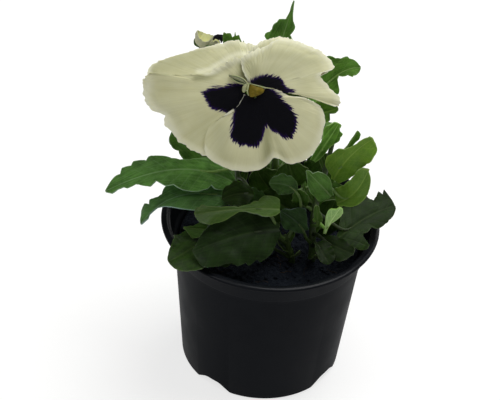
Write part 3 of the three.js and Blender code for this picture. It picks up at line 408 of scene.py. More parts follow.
def weld(piece):
    choose(piece)
    bpy.ops.object.mode_set(mode="EDIT")
    bpy.ops.mesh.select_all(action="SELECT")
    bpy.ops.mesh.remove_doubles(threshold=2e-6)
    bpy.ops.mesh.normals_make_consistent(inside=False)
    bpy.ops.object.mode_set(mode="OBJECT")


def faceNumbers(piece):
    numbers = np.zeros(len(piece.data.polygons), int)
    piece.data.polygons.foreach_get("material_index", numbers)
    return numbers


def together(pieces, name):
    choose(*pieces)
    bpy.ops.object.join()
    pieces[0].name = name
    pieces[0].data.name = name
    return pieces[0]


def joined(parts, name):
    # One piece of several, each given with the number that its first material is to have in the whole.
    numbers = []
    for piece, first in parts:
        numbers.append(faceNumbers(piece) + first)
        piece.data.materials.clear()
    whole = together([piece for piece, _ in parts], name)
    whole.data.polygons.foreach_set("material_index", np.concatenate(numbers))
    return whole


def dress(piece, node, slot, *names):
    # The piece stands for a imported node, rides with it and takes these materials.
    numbers = faceNumbers(piece)
    piece.data.materials.clear()
    for name in names:
        piece.data.materials.append(materials[name])
    piece.data.polygons.foreach_set("material_index", numbers)
    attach(piece, "root")
    if node:
        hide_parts(node)


def makeTube(name, line, radii, sides=12, tone=1.0):
    # A round stalk through the points of a line, closed at both ends.
    rings = len(line) + 1
    piece, u, v = startSheet(name, rings, sides)
    along = unit(np.gradient(line, axis=0))
    lead = unit(np.cross(along, np.array([0.31, 0.52, 0.8])))
    other = np.cross(along, lead)
    ring = np.round(u * rings).astype(int)
    middle = np.clip(ring - 1, 0, len(line) - 1)
    radius = np.where((ring == 0) | (ring == rings), 0, np.asarray(radii, float)[middle])
    angle = math.pi * v
    spoke = np.cos(angle)[:, None] * lead[middle] + np.sin(angle)[:, None] * other[middle]
    placeVertices(piece, line[middle] + spoke * radius[:, None])
    paint(piece, tone=tone)
    weld(piece)
    return piece


# Nursery pot
pot = {
    "steps": 160, "foot": 33.4, "bevel": 0.3,
    "outside": [(0, 0), (33.4, 0), (34.1, 0.8), (39, 58), (39.4, 61), (40.9, 61.3), (41.8, 68.6), (44.2, 69),
                (45, 69.8), (44.9, 70.6), (44, 71)],
    "inside": [(42.8, 71), (41, 70), (40.6, 68), (39.6, 61.4), (38.2, 60.4), (37.8, 58), (32.9, 1.6),
               (32.3, 1.2), (0, 1.2)],
    "archTurn": 56, "archInner": 25, "archHeight": 4.3, "archHalfAngle": 18.5, "wall": 1.2,
    "holeRadius": 2.5, "holeAt": 29, "lipFrom": 70.2,
}


def spinProfile(name, profile, steps):
    # One vertex is extruded along the profile, which is then spun round the upright axis.
    piece = newPrimitive("plane", name, size=mm, location=Vector((profile[0][0], 0, profile[0][1])) * mm)
    bpy.ops.object.mode_set(mode="EDIT")
    bpy.ops.mesh.select_mode(type="VERT")
    bpy.ops.mesh.select_all(action="SELECT")
    bpy.ops.mesh.merge(type="CENTER")
    for (x0, z0), (x1, z1) in zip(profile, profile[1:]):
        bpy.ops.mesh.extrude_vertices_move(
            TRANSFORM_OT_translate={"value": ((x1 - x0) * mm, 0, (z1 - z0) * mm)})
    bpy.ops.mesh.select_all(action="SELECT")
    bpy.ops.mesh.spin(steps=steps, angle=2 * math.pi, center=(0, 0, 0), axis=(0, 0, 1))
    bpy.ops.object.mode_set(mode="OBJECT")
    choose(piece)
    bpy.ops.object.transform_apply(location=True, rotation=True, scale=True)
    weld(piece)
    return piece


def archBlock(name, radii, bottom, rim, top, halfAngle, turn):
    # A cube, cut fine and curved round the foot, whose top rises from the rim height to a rounded arch.
    piece = newPrimitive("cube", name, size=2)
    bpy.ops.object.mode_set(mode="EDIT")
    bpy.ops.mesh.select_all(action="SELECT")
    bpy.ops.mesh.subdivide(number_cuts=19)
    bpy.ops.object.mode_set(mode="OBJECT")
    for vertex in piece.data.vertices:
        x, y, z = vertex.co
        angle = turn + halfAngle * y
        radius = radii[0] + (radii[1] - radii[0]) * (x + 1) / 2
        crown = rim + (top - rim) * (1 - float(smoothStep(abs(y), 0.18, 1)))
        height = bottom + (crown - bottom) * (z + 1) / 2
        vertex.co = Vector((radius * math.cos(angle), radius * math.sin(angle), height)) * mm
    return piece


def makePot():
    piece = spinProfile("pot_body", pot["outside"] + pot["inside"], pot["steps"])
    modify(piece, "BEVEL", width=pot["bevel"] * mm, segments=2, limit_method="ANGLE",
           angle_limit=math.radians(22))
    inner, wall, height = pot["archInner"], pot["wall"], pot["archHeight"]
    half = math.radians(pot["archHalfAngle"])
    jackets = []
    cutters = []
    for i in range(4):
        turn = math.radians(pot["archTurn"] + 90 * i)
        jackets.append(archBlock("jacket", (inner - wall, pot["foot"]), 0.5, 0.8, height + wall,
                                 half + wall / inner, turn))
        cutters.append(archBlock("cutter", (inner, 40), -1, 0, height, half, turn))
        centre = Vector((math.cos(turn), math.sin(turn), 0)) * pot["holeAt"] * mm
        hole = newPrimitive("cylinder", "hole", radius=pot["holeRadius"] * mm, depth=20 * mm, vertices=32,
                            location=centre)
        bpy.ops.object.transform_apply(location=True)
        cutters.append(hole)
    modify(piece, "BOOLEAN", object=together(jackets, "jackets"), operation="UNION", solver="EXACT")
    modify(piece, "BOOLEAN", object=together(cutters, "cutters"), operation="DIFFERENCE", solver="EXACT",
           use_self=True)
    for name in ("jackets", "cutters"):
        bpy.data.objects.remove(bpy.data.objects[name])
    soften(piece, 40)
    dress(piece, "pot", "pot_plastic", "pot", "potLip")
    for face in piece.data.polygons:
        face.material_index = int(face.center.z > pot["lipFrom"] * mm)


makePot()
print("pot made")


# Peat
soil = {"top": 60, "bottom": 6.3, "foot": 32.7, "rim": (37.1, 56), "edge": 37.2, "rings": 52, "steps": 180,
        "roughness": 1.1, "crumbs": 380, "crumbsTo": 36.4, "fibres": 46, "fibresTo": 34, "wall": 36.5}


def soilHeight(x, y):
    # The solid's gentle waves, with lumps of a few millimetres on them.
    rise = 0.0
    for k, a, b in ((0.31, 1, 0.4), (0.52, -0.5, 1), (0.93, 0.8, -1), (1.7, 1, 0.9)):
        rise += math.sin(k * (x * a + y * b) + 5 * a - 3 * b) / 4
    lumps = noise.fractal(Vector((x, y, 0)) / 2.6, 0.8, 2.1, 4)
    return soil["top"] + soil["roughness"] * rise + 0.8 - 0.0006 * (x * x + y * y) + 0.55 * lumps


def makeSoil():
    rings = [(soil["edge"] * (1 - k / soil["rings"]), soil["top"]) for k in range(soil["rings"] + 1)]
    profile = [(0, soil["bottom"]), (soil["foot"], soil["bottom"]), soil["rim"], *rings]
    piece = spinProfile("soil_body", profile, soil["steps"])
    for vertex in piece.data.vertices:
        if vertex.co.z > (soil["top"] - 1) * mm:
            vertex.co.z = soilHeight(vertex.co.x / mm, vertex.co.y / mm) * mm
    soften(piece, 180)
    dress(piece, "soil", "peat", "peat")


def makeCrumbs():
    model = newPrimitive("ico_sphere", "crumb", subdivisions=2, radius=1)
    for vertex in model.data.vertices:
        vertex.co *= 1 + 0.5 * noise.noise(vertex.co * 1.4)
    crumbs = []
    for _ in range(soil["crumbs"]):
        angle, radius = random.uniform(0, 2 * math.pi), soil["crumbsTo"] * random.random() ** 0.5
        x, y = radius * math.cos(angle), radius * math.sin(angle)
        size = random.uniform(0.35, 1.1) ** 1.5
        crumb = model.copy()
        crumb.data = model.data.copy()
        bpy.context.collection.objects.link(crumb)
        sides = (random.uniform(0.7, 1.5), random.uniform(0.7, 1.3), random.uniform(0.5, 1), 1)
        turn = Matrix.Rotation(random.uniform(0, 6.3), 4, Vector((random.random(), random.random(), 1)))
        spot = Matrix.Translation(Vector((x, y, soilHeight(x, y) + 0.25 * size)) * mm)
        crumb.data.transform(spot @ turn @ Matrix.Diagonal(sides) @ Matrix.Scale(size * mm, 4))
        crumbs.append(crumb)
    bpy.data.objects.remove(model)
    dress(together(crumbs, "soil_crumbs"), None, "peat", "peat")


def makeFibres():
    fibres = []
    for _ in range(soil["fibres"]):
        angle, radius = random.uniform(0, 2 * math.pi), soil["fibresTo"] * random.random() ** 0.5
        start = Vector((radius * math.cos(angle), radius * math.sin(angle)))
        heading = random.uniform(0, 2 * math.pi)
        line = []
        for _ in range(7):
            line.append((*start, soilHeight(*start) + 0.12))
            heading += random.uniform(-0.5, 0.5)
            step = Vector((math.cos(heading), math.sin(heading))) * random.uniform(0.6, 1.1)
            start = start + step if (start + step).length < soil["wall"] else start - step
        fibres.append(makeTube("fibre", np.array(line), [0.13] * 7, 4))
    dress(together(fibres, "soil_fibres"), None, "peat", "fibre")


makeSoil()
makeCrumbs()
makeFibres()
print("peat made")


# Leafy stems, as in the solids. stipules are the leaflets at the joints: how far up, heading and length.
# Each stem's tone darkens it as painted shade.
stems = {
    "back": {"path": [(3, 7, 52), (2, 9, 70), (0, 14, 92), (-2, 20, 112), (-4, 26, 129)], "radii": (1.9, 1.1),
             "tone": 0.6, "stipules": [(0.32, 60, 8), (0.55, 200, 8), (0.78, 20, 7), (0.98, 150, 8)]},
    "right": {"path": [(18, -13, 52), (17.6, -12.5, 66), (17, -8, 82), (20, -2, 98), (22, 2, 110)],
              "radii": (1.5, 0.9), "tone": 0.3,
              "stipules": [(0.16, 285, 8), (0.34, 60, 8), (0.56, 160, 8), (0.8, 120, 7)]},
    "left": {"path": [(-9, -3, 52), (-10, -3, 66), (-13, -1, 80), (-15, 3, 92), (-16, 7, 103)],
             "radii": (1.7, 0.9), "tone": 0.4, "stipules": [(0.42, 300, 8), (0.63, 65, 8), (0.88, 335, 7)]},
    "front": {"path": [(10, -13, 52), (9.5, -14, 62), (6, -15, 74)], "radii": (1.6, 1.1), "tone": 0.3,
              "stipules": [(0.62, 200, 8), (0.5, 300, 8), (0.8, 60, 6)]},
}
# Leaves, as in the solids. A row is the name, the stem, how far up it the stalk leaves, the foot, middle and
# tip of the blade's spine, the way its face points, and the rest: fold and curl across it in degrees, twist
# along it, tone for how bright it is against the others, which is painted light and shade for how lit or
# shaded it stands and partly its age, cool for how much of its blue is kept, paler for how much brighter its
# foot is than its tip, a painted light gradient. An outline row is how far along in per cent and both
# half-widths.
leaves = [
    ("left_long", "left", 0.8, (-16.5, -2, 89.5), (-39.5, -6, 96.5), (-67, -8, 84.5), (0.05, -0.45, 0.9),
     dict(fold=10, curl=-14, wave=0.8, tone=1.6, cool=1.85, paler=0.55, outline=[(0, 2, 2), (5, 3, 4.5),
     (9, 3.5, 6), (16, 4.5, 7), (20, 5.5, 6), (23, 6.5, 8), (32, 5, 9.5), (39, 4, 9.5), (46, 4, 9),
     (52, 5, 7), (59, 7, 7), (65, 7.5, 4), (68, 7.5, 5), (70, 6, 5.5), (72, 6.5, 5), (78, 7, 3),
     (80, 5.5, 2.5), (86, 6, 3), (88, 4, 2), (92, 4, 2), (96, 2.5, 2.5), (100, 0.4, 0.4)])),
    ("left_under", "left", 0.62, (-15.5, -9, 86), (-37, -12, 88), (-52, -14, 74), (-0.2, -0.5, 0.8),
     dict(fold=18, curl=-20, twist=30, tone=1.1, cool=2.3, outline=[(0, 2, 2), (15, 3, 6), (30, 5, 8),
     (42, 6.5, 8), (53, 7.5, 7), (60, 7.5, 5), (65, 6.5, 3.5), (68, 4.5, 2.5), (72, 4, 1.5),
     (77, 4.5, 0.5), (81, 5, 0.5), (83, 3.5, 0.5), (87, 5.5, 0.5), (89, 5.5, 2.5), (95, 5, 2),
     (98, 3, 1.5), (100, 0.6, 0.4)])),
    ("left_behind", "left", 0.95, (-24, 7, 93), (-33.5, 8, 98), (-42.5, 9.6, 103.5), (-0.1, -0.6, 0.8),
     dict(tone=1.03, cool=1.3, outline=[(0, 1, 1.5), (25, 3.5, 4), (45, 4, 6), (55, 4, 6.5),
     (66, 3.5, 5.5), (69, 3.5, 4.5), (78, 3, 5), (86, 2.5, 4.5), (93, 2, 4), (98, 1, 2.5),
     (100, 0.4, 0.4)])),
    ("left_inner", "left", 0.72, (-7.5, -9.5, 89.5), (-14, -11, 90.5), (-20, -12, 88), (0, -0.5, 0.8),
     dict(width=11, teeth=3, tone=0.25)),
    ("front_folded", "front", 0.96, (3, -19, 90.5), (-13, -24, 93), (-30, -28, 92), (0.05, -0.4, 0.9),
     dict(fold=12, curl=-30, wave=1.4, twist=-20, young=True, waves=1.5, tone=0.48, cool=1.4, paler=0.8,
     outline=[(0, 4, 1), (6, 5, 2.5), (17, 5.5, 3.5), (22, 4.5, 3.5), (25, 3.5, 3.5), (30, 4, 2.5),
     (36, 2, 2), (43, 1.5, 1), (50, 1, 1), (60, 1.5, 2.5), (70, 1.5, 4), (78, 2, 4.5), (86, 2.5, 5),
     (90, 3.5, 4.5), (93, 2.5, 4), (97, 2.5, 3), (100, 0.6, 0.5)])),
    ("front_broad", "front", 0.86, (3.5, -20.5, 82), (-13, -27.5, 82.5), (-29.6, -35.1, 79),
     (0, -0.75, 0.65), dict(wave=0.8, curl=-16, tone=0.17, cool=1.6, outline=[(0, 1.5, 3.5), (5, 3, 5.5),
     (12, 6, 8.5), (19, 8, 10.5), (30, 9.5, 12), (33, 9.5, 10.5), (40, 9.5, 12), (45, 9.5, 12.5),
     (48, 9.5, 11), (60, 8.5, 11.5), (65, 8, 9.5), (72, 7.5, 9), (78, 6.5, 9), (85, 5, 8.5), (90, 3.5, 8),
     (94, 2, 7.5), (99, 1, 6), (100, 0.5, 3)])),
    ("front_under", "front", 0.5, (-9.5, -19.5, 71.5), (-17, -25, 72), (-24.5, -27.5, 69.5),
     (-0.1, -0.7, 0.7), dict(width=12.5, teeth=4, wave=0.4, tone=0.27)),
    ("front_over_lip", "left", 0.3, (-25.5, -19, 74), (-32, -30, 75), (-39, -36.5, 74.5),
     (-0.3, -0.5, 0.8), dict(tone=0.29, outline=[(0, 5, 2), (7, 8, 3), (26, 9.5, 7.5), (38, 9.5, 10),
     (44, 8, 11), (54, 7.5, 11), (63, 6.5, 11), (76, 5, 8), (84, 4, 7), (92, 2.5, 5.5), (97, 1.5, 4),
     (100, 0.5, 1.5)])),
    ("left_small", "left", 0.5, (-21, -16.5, 76.5), (-27, -20, 78.5), (-34.5, -21, 79.5), (0, -0.6, 0.8),
     dict(tone=0.5, outline=[(0, 1.5, 1), (6, 2, 1), (19, 2.5, 3), (32, 3, 3.5), (60, 2.5, 3.5),
     (76, 1, 4), (82, 1, 3), (93, 0.5, 1), (100, 0.3, 0.3)])),
    ("beside_bloom", "right", 0.97, (15, -1, 102), (19.5, 0, 111), (23.5, 2, 119), (0.2, -0.8, 0.5),
     dict(tone=1.9, cool=1.1, outline=[(0, 1, 1.5), (20, 2, 2), (44, 2, 2), (55, 3, 2.5), (65, 4, 3.5),
     (74, 3.5, 4), (84, 3.5, 3.5), (86, 2, 3), (93, 1, 2.5), (98, 1, 2), (100, 0.4, 1)])),
    ("right_narrow", "right", 0.9, (27, 1, 106), (29, 1, 111), (31.5, 2, 116), (0.2, -0.8, 0.5),
     dict(tone=1.36, outline=[(0, 1, 1), (30, 1, 0.5), (56, 1.5, 0.5), (78, 2, 0.5), (94, 1.5, 0.5),
     (100, 0.3, 0.3)])),
    ("right_round", "right", 0.84, (23.5, -5, 96.5), (28.5, -7, 109.5), (36.5, -9, 120.5),
     (0.1, -0.7, 0.7), dict(young=True, tone=1.14, cool=0.8, outline=[(0, 2.5, 1), (6, 3.5, 1.5),
     (14, 5, 4), (20, 5.5, 6), (30, 6, 7), (35, 6, 6), (49, 6, 5.5), (56, 6.5, 3.5), (65, 6.5, 2.5),
     (74, 7, 2), (88, 6, 2), (95, 5, 1.5), (98, 4, 1.5), (100, 2, 0.5)])),
    ("right_upright", "right", 0.6, (23, -11.5, 93), (18, -13.5, 100), (12, -14.5, 107), (0, -0.9, 0.4),
     dict(tone=1, cool=1.4, outline=[(0, 1, 1), (10, 1.5, 3), (15, 2, 4.5), (33, 3.5, 5), (52, 4.5, 5),
     (68, 4, 4), (81, 3, 2.5), (86, 1, 2), (93, 1, 1), (100, 0.4, 0.3)])),
    ("right_bright", "right", 0.7, (25.5, -9.5, 88.5), (32, -11.5, 96), (36, -12.5, 108.5),
     (0, -0.75, 0.6), dict(young=True, tone=1, cool=0.9, outline=[(0, 1, 3), (6, 1.5, 5), (14, 2, 6),
     (24, 3.5, 5.5), (32, 4, 5.5), (45, 4.5, 5), (58, 4.5, 5), (67, 4, 4.5), (80, 3, 4), (89, 2, 4),
     (96, 0.5, 3.5), (100, 0.4, 2)])),
    ("right_over_lip", "right", 0.5, (25.5, -18, 75), (37, -7.5, 79.5), (50, 2, 80.5), (0.1, -0.35, 0.9),
     dict(curl=-10, tone=0.21, paler=0.3, fold=6, outline=[(0, 2, 1), (8, 5, 1), (15, 8, 2), (18, 9.5, 3),
     (26, 11, 5), (32, 10.5, 7), (33.5, 6, 7), (37, 5, 8), (43, 5.5, 9), (53, 4.5, 9), (57, 6, 9),
     (64, 6.5, 9), (73, 6, 8.5), (76, 6, 6.5), (79, 5.5, 5.5), (85, 5, 6.5), (90, 4, 8), (92, 3.5, 6),
     (97, 2, 8), (98.5, 1.5, 5), (100, 0.5, 2.5)])),
    ("right_low", "right", 0.36, (21, -19, 76.5), (27, -24, 77.5), (33, -28, 78), (0.1, -0.6, 0.75),
     dict(tone=0.12, outline=[(0, 2, 2), (20, 4, 3.5), (35, 4.5, 4), (60, 5, 4), (77, 5, 3), (88, 3.5, 3),
     (96, 1, 2.5), (100, 0.4, 1.5)])),
    ("right_lowest", "right", 0.28, (18.5, -22.5, 78), (21, -27.5, 77), (24, -31, 74.5), (0.2, -0.7, 0.7),
     dict(tone=0.11, outline=[(0, 1, 2.5), (10, 1, 3.5), (30, 2, 4.5), (53, 2.5, 4.5), (73, 2.5, 4),
     (87, 2, 3.5), (95, 1, 2.5), (100, 0.3, 0.5)])),
    ("right_pale", "right", 0.46, (21.5, -18, 79), (23.5, -19.5, 87), (26.5, -20, 94.5),
     (0.15, -0.85, 0.5), dict(fold=14, tone=2.1, turned=True, outline=[(0, 0.5, 0.5), (24, 0.5, 1),
     (42, 0.5, 2), (60, 1.5, 3), (76, 2, 3.5), (86, 2, 3), (91, 2, 1), (100, 1, 0.5)])),
    ("centre_front", "right", 0.3, (14, -14.5, 77), (9, -14, 82), (3.5, -13.5, 85.5), (0, -0.9, 0.4),
     dict(tone=0.42, cool=2.4, outline=[(0, 1.5, 1.5), (14, 2.5, 3), (40, 5.5, 4.5), (48, 6.5, 5),
     (62, 5, 5), (80, 2.5, 3.5), (95, 1.5, 1.5), (100, 0.4, 0.4)])),
    ("centre_small", "right", 0.42, (18.5, -18, 82.5), (18, -19, 88.5), (17, -19, 94), (0, -0.9, 0.4),
     dict(tone=0.55, outline=[(0, 0.5, 0.5), (20, 1, 0.5), (40, 2, 1.5), (72, 1, 1.5), (92, 1, 1),
     (100, 0.3, 0.3)])),
    ("centre_tall", "front", 0.94, (9, -12, 95), (4, -12.5, 98), (-2, -12.5, 98), (0, -0.9, 0.4),
     dict(width=9, teeth=4, tone=0.62, cool=1.8)),
    ("centre_left", "front", 0.8, (-1.5, -9, 81), (-8, -8, 84), (-14.5, -8, 87), (0, -0.8, 0.6),
     dict(width=13, teeth=4, tone=0.5, cool=1.8)),
    ("centre_behind", "back", 0.34, (3, 4, 78.5), (-3, 4.5, 84.5), (-7.5, 5, 92), (0, -0.8, 0.6),
     dict(width=15, teeth=4, tone=0.5)),
    ("centre_inner", "right", 0.52, (12, -8, 83), (11, -9.5, 89), (9, -10, 94), (0, -0.9, 0.4),
     dict(width=7, teeth=3, tone=0.62)),
    ("centre_high", "back", 0.42, (8, 0, 88.5), (7, -1, 94), (5, -1, 101), (0, -0.9, 0.4), dict(width=15,
     teeth=4, tone=0.62)),
    ("right_inner", "back", 0.46, (14, 1.5, 88), (18.5, 2, 96), (21, 3.5, 103), (0, -0.8, 0.6),
     dict(width=15, teeth=4, tone=0.62)),
    ("right_deep", "back", 0.3, (15, 6, 74), (22, 6, 78.5), (30.5, 5, 81), (0.1, -0.7, 0.7),
     dict(width=17, teeth=4, tone=0.5)),
    ("centre_dark", "back", 0.24, (12.5, -1, 74), (3.5, -1.5, 79.5), (-4.5, -1.5, 84.5), (0, -0.8, 0.6),
     dict(width=15, teeth=4, tone=0.36)),
    ("right_dark", "right", 0.34, (20, -2, 64), (23, -2, 75), (25.5, -1, 83.5), (0, -0.8, 0.6),
     dict(width=13, teeth=4, tone=0.44)),
    ("behind_right", "back", 0.86, (16, 14, 126), (23, 16, 133.5), (30.5, 17, 136), (0.1, -0.7, 0.7),
     dict(tone=1.26, cool=1.1, outline=[(0, 2, 2), (15, 6, 3), (24, 5, 4.5), (30, 3, 6), (35, 1.5, 7.5),
     (42, 0.5, 8.5), (48, 1.5, 8), (54, 2, 6), (62, 2, 5), (74, 3.5, 5), (77, 3, 4), (87, 3, 3),
     (96, 2, 1), (100, 0.4, 0.3)])),
    ("behind_petal", "back", 0.75, (12, 7, 120), (17.5, 8, 119.5), (23, 9, 121.5), (0, -0.7, 0.7),
     dict(tone=0.75, cool=0.7, outline=[(0, 1, 2), (20, 3, 4.5), (40, 4, 4.5), (52, 4, 4.5),
     (65, 3.5, 4.5), (69, 1, 4.5), (85, 1.5, 4.5), (97, 1, 3.5), (100, 0.3, 1)])),
    ("top", "back", 0.98, (-2, 27, 135), (0, 29, 144), (2.5, 31, 155.5), (0, -0.85, 0.5), dict(tone=1.48,
     cool=1.4, outline=[(0, 1, 1), (12, 3, 4.5), (22, 4.5, 7), (29, 4.5, 7), (34, 3.5, 5.5), (40, 2.5, 5),
     (52, 3.5, 5), (58, 3.5, 4), (64, 2.5, 3.5), (67, 2, 1), (80, 1, 0.5), (92, 0.5, 0.5),
     (100, 0.2, 0.3)])),
    ("behind_bud", "back", 0.9, (-15.9, 24, 137.9), (-20, 24.8, 137.4), (-24.1, 25, 136.6),
     (0, -0.85, 0.5), dict(fold=4, curl=0, wave=0.3, tone=1.08, outline=[(0, 0.4, 1.5), (4, 1.8, 1.5),
     (8, 1, 1.5), (16, 1.6, 1.6), (22, 2.7, 1.7), (27, 3.9, 1.8), (34, 3.6, 1.8), (39, 3.4, 1.8),
     (43, 5, 1.8), (46, 3.3, 1.8), (56, 2.7, 1.8), (62, 4.3, 1.8), (71, 4.5, 1.8), (80, 4.4, 1.6),
     (90, 5, 1.5), (95, 3.8, 1.2), (98, 2, 1), (100, 0.4, 0.6)])),
    ("far_left", "back", 0.45, (-8, 14, 92), (-24, 26, 97), (-38, 36, 88), (-0.2, 0.4, 0.85),
     dict(width=18, teeth=5, tone=1.06)),
    ("far_right", "back", 0.5, (9, 18, 93), (17, 29, 99), (24, 39, 92), (0.2, 0.4, 0.85), dict(width=17,
     teeth=5, tone=1.06)),
    ("far_over_lip", "back", 0.3, (2, 20, 79), (6, 35, 81), (9, 52, 72), (0, 0.3, 0.9), dict(width=18,
     teeth=5, tone=0.94)),
    ("far_low_left", "back", 0.22, (-14, 14, 75), (-26, 25, 79), (-38, 34, 72.5), (-0.2, 0.3, 0.9),
     dict(width=16, teeth=4, tone=0.81)),
    ("far_low_right", "back", 0.26, (13, 14, 74), (21, 24, 77), (28, 34, 73.5), (0.2, 0.3, 0.9),
     dict(width=15, teeth=4, tone=0.81)),
    ("far_high", "back", 0.8, (-9, 28, 116), (-15, 37, 121), (-20, 46, 121), (-0.2, 0.1, 0.9),
     dict(width=13, teeth=4, tone=1.19)),
    ("far_upright", "back", 0.66, (8, 24, 108), (15, 32, 115), (20, 41, 118), (0.2, 0.1, 0.9),
     dict(width=13, teeth=4, tone=1.12)),
]
foliage = {
    "widest": 0.52, "blunt": 0.6, "depth": 0.16, "fullHalf": 5, "bulge": 0.12, "thickness": 0.5,
    "fold": 8, "curl": -10, "twist": 0, "wave": 0.6, "waves": 2.5, "groove": 0.4, "quilt": 0.07,
    "unevenness": 0.5, "tone": 1.0, "cool": 1.0, "paler": 0, "intoBlade": 0.3, "offStem": 0.1,
    "stalkAt": (0, 0.12, 0.7, 1), "stalkRadii": (1.0, 0.72, 0.6, 0.3),
}


def halfWidth(leaf, u, v):
    # How wide the blade is on one side of its midrib: read off its outline, or a toothed oval of its width.
    if "outline" in leaf:
        at, upper, lower = np.array(leaf["outline"], float).T
        at = at / 100
        found = np.where(v < 0, np.interp(u, at, lower), np.interp(u, at, upper))
        first = np.clip(np.searchsorted(at, u, side="right") - 1, 0, len(at) - 2)
        share = (u - at[first]) / (at[first + 1] - at[first])
        return found + leaf["bulge"] * np.minimum(found, 5) * share * (1 - share)
    skew = math.log(0.5) / math.log(leaf["widest"])
    spread = np.maximum(np.maximum(np.sin(np.pi * u ** skew), 0) ** leaf["blunt"], 0.07)
    tooth = np.abs(np.sin(np.pi * ((u * leaf["teeth"]) % 1) ** 1.4)) ** 0.7
    return leaf["width"] / 2 * spread * (1 - leaf["depth"] * smoothStep(u, 0.12, 0.35) * (1 - tooth) * v * v)


def leafSurface(leaf, u, v):
    # The middle of the blade's thickness at u along the midrib and v across it.
    base, mid, tip, face = (np.array(leaf[key], float) for key in ("base", "mid", "tip", "face"))
    w = u[:, None]
    along = unit(base * (4 * w - 3) + mid * (4 - 8 * w) + tip * (4 * w - 1))
    normal = unit(face - along * (along @ face)[:, None])
    turn = np.radians(leaf["twist"]) * w
    normal = normal * np.cos(turn) + np.cross(along, normal) * np.sin(turn)
    side = np.cross(along, normal)
    half = halfWidth(leaf, u, v)
    start = math.radians(leaf["fold"])
    bend = np.radians(leaf["curl"]) * np.abs(v)
    bend = np.where(np.abs(bend) < 1e-4, -1e-4, bend)
    out = np.abs(v) * (np.sin(start + bend) - math.sin(start)) / bend
    up = np.abs(v) * (math.cos(start) - np.cos(start + bend)) / bend
    fullness = np.minimum(half / leaf["fullHalf"], 1)
    ripple = leaf["wave"] * fullness * v * v * np.sin(2 * np.pi * (leaf["waves"] * u + 0.2 * np.sign(v)))
    spine = throughThree(base, mid, tip, w)
    return spine + side * (np.sign(v) * half * out)[:, None] + normal * (half * up + ripple)[:, None]


def makeBlade(leaf, name, pitch=0.6):
    # A toothed blade with a sunk midrib and quilted side veins. pitch is the length of its finest step.
    leaf = {**foliage, **leaf}
    length = math.dist(leaf["base"], leaf["mid"]) + math.dist(leaf["mid"], leaf["tip"])
    outline = leaf.get("outline", [(0, 0, leaf.get("width", 0)), (100, 0, 0)])
    stations = [row[0] / 100 for row in outline]
    stops = [0.0]
    for a, b in zip(stations, stations[1:]):
        count = max(1, math.ceil((b - a) * length / pitch))
        stops += [a + (b - a) * (k + 1) / count for k in range(count)]
    widest = max(upper + lower for _, upper, lower in outline)
    columns, rows = len(stops) - 1, 2 * int(min(16, max(7, widest * 0.8)))
    piece, u, v = startSheet(name, columns, rows)
    u = np.array(stops)[np.round(u * columns).astype(int)]
    points = leafSurface(leaf, u, v)
    half = halfWidth(leaf, u, v)
    count = leaf.get("veins", max(3, round(length / 4.5)))
    phase = u * count - 1.7 * np.abs(v) ** 0.85 + 0.5 * (v > 0)
    fromRib = np.abs(v) * half
    apart = np.abs((phase + 0.5) % 1 - 0.5) * length / count
    fade = smoothStep(u, 0.0, 0.12) * (1 - smoothStep(u, 0.8, 1.0))
    groove = -leaf["groove"] * np.exp(-(fromRib / 0.8) ** 2) * (1 - 0.7 * u)
    quilt = -leaf["quilt"] * np.exp(-(apart / 0.7) ** 2) * fade * smoothStep(fromRib, 0.3, 1.5)
    uneven = leaf["unevenness"] * noiseOver(*points.T * 0.22) * np.minimum(fromRib / 3, 1)
    normal = normalsOf(partial(leafSurface, leaf), u, v)
    placeVertices(piece, points + normal * (groove + quilt + uneven)[:, None])
    # Painted light and shade: the brightness factor, with a painted gradient from foot to tip.
    paint(piece, tone=leaf["tone"] * (1 + leaf["paler"] * (0.5 - u)), cool=leaf["cool"],
          edgeDistance=np.minimum(half * (1 - np.abs(v)), (1 - u) * length * 0.6),
          ribDistance=fromRib / (1.1 - 0.8 * u), veinPhase=phase, veinPitch=length / count)
    return thicken(piece, leaf["thickness"])


def bareTube(line, radii, sides, tone):
    # A stalk that can be joined to a blade.
    stalk = makeTube("stalk", line, radii, sides, tone)
    paint(stalk, edgeDistance=5.0, ribDistance=5.0, veinPhase=0.5, veinPitch=9.0)
    return stalk


def stalkLine(start, startHeading, end, endHeading, count=14):
    # A smooth line from one point and heading to another.
    reach = float(np.linalg.norm(end - start)) * 0.4
    a, b = start + startHeading * reach, end - endHeading * reach
    t = np.linspace(0, 1, count)[:, None]
    return start * (1 - t) ** 3 + 3 * a * t * (1 - t) ** 2 + 3 * b * t * t * (1 - t) + end * t ** 3


def leaveStem(stem, at, towards):
    # Where a stalk leaves a stem's skin on its way to a point, and its level heading there.
    joint = evenPoints(stem["path"], [at])[0]
    out = unit((np.array(towards, float) - joint) * (1, 1, 0))
    radius = stem["radii"][0] + (stem["radii"][1] - stem["radii"][0]) * at
    return joint + out * (radius + foliage["offStem"]), out


def makeLeaf(name, leaf):
    leaf = {**foliage, **leaf}
    foot, out = leaveStem(stems[leaf["stem"]], leaf["at"], leaf["base"])
    into = leafSurface(leaf, np.array([leaf["intoBlade"]]), np.array([0.0]))[0]
    line = stalkLine(foot, out * 0.7 + (0, 0, 0.7), into, unit(into - leaf["base"]))
    radii = np.interp(np.linspace(0, 1, len(line)), leaf["stalkAt"], leaf["stalkRadii"])
    parts = [(makeBlade(leaf, "blade"), 0), (bareTube(line, radii, 10, leaf["tone"]), 2)]
    piece = joined(parts, name + "_fine")
    soften(piece)
    slot, upper = ("young_leaf", "youngBlade") if leaf.get("young") else ("leaf", "leafBlade")
    faces = (upper, "leafUnderside") if leaf.get("turned") else ("leafUnderside", upper)
    dress(piece, name, slot, *faces, "stem")


for name, stem, at, base, mid, tip, face, more in leaves:
    makeLeaf("leaf_" + name, dict(stem=stem, at=at, base=base, mid=mid, tip=tip, face=face, **more))
print("leaves made")


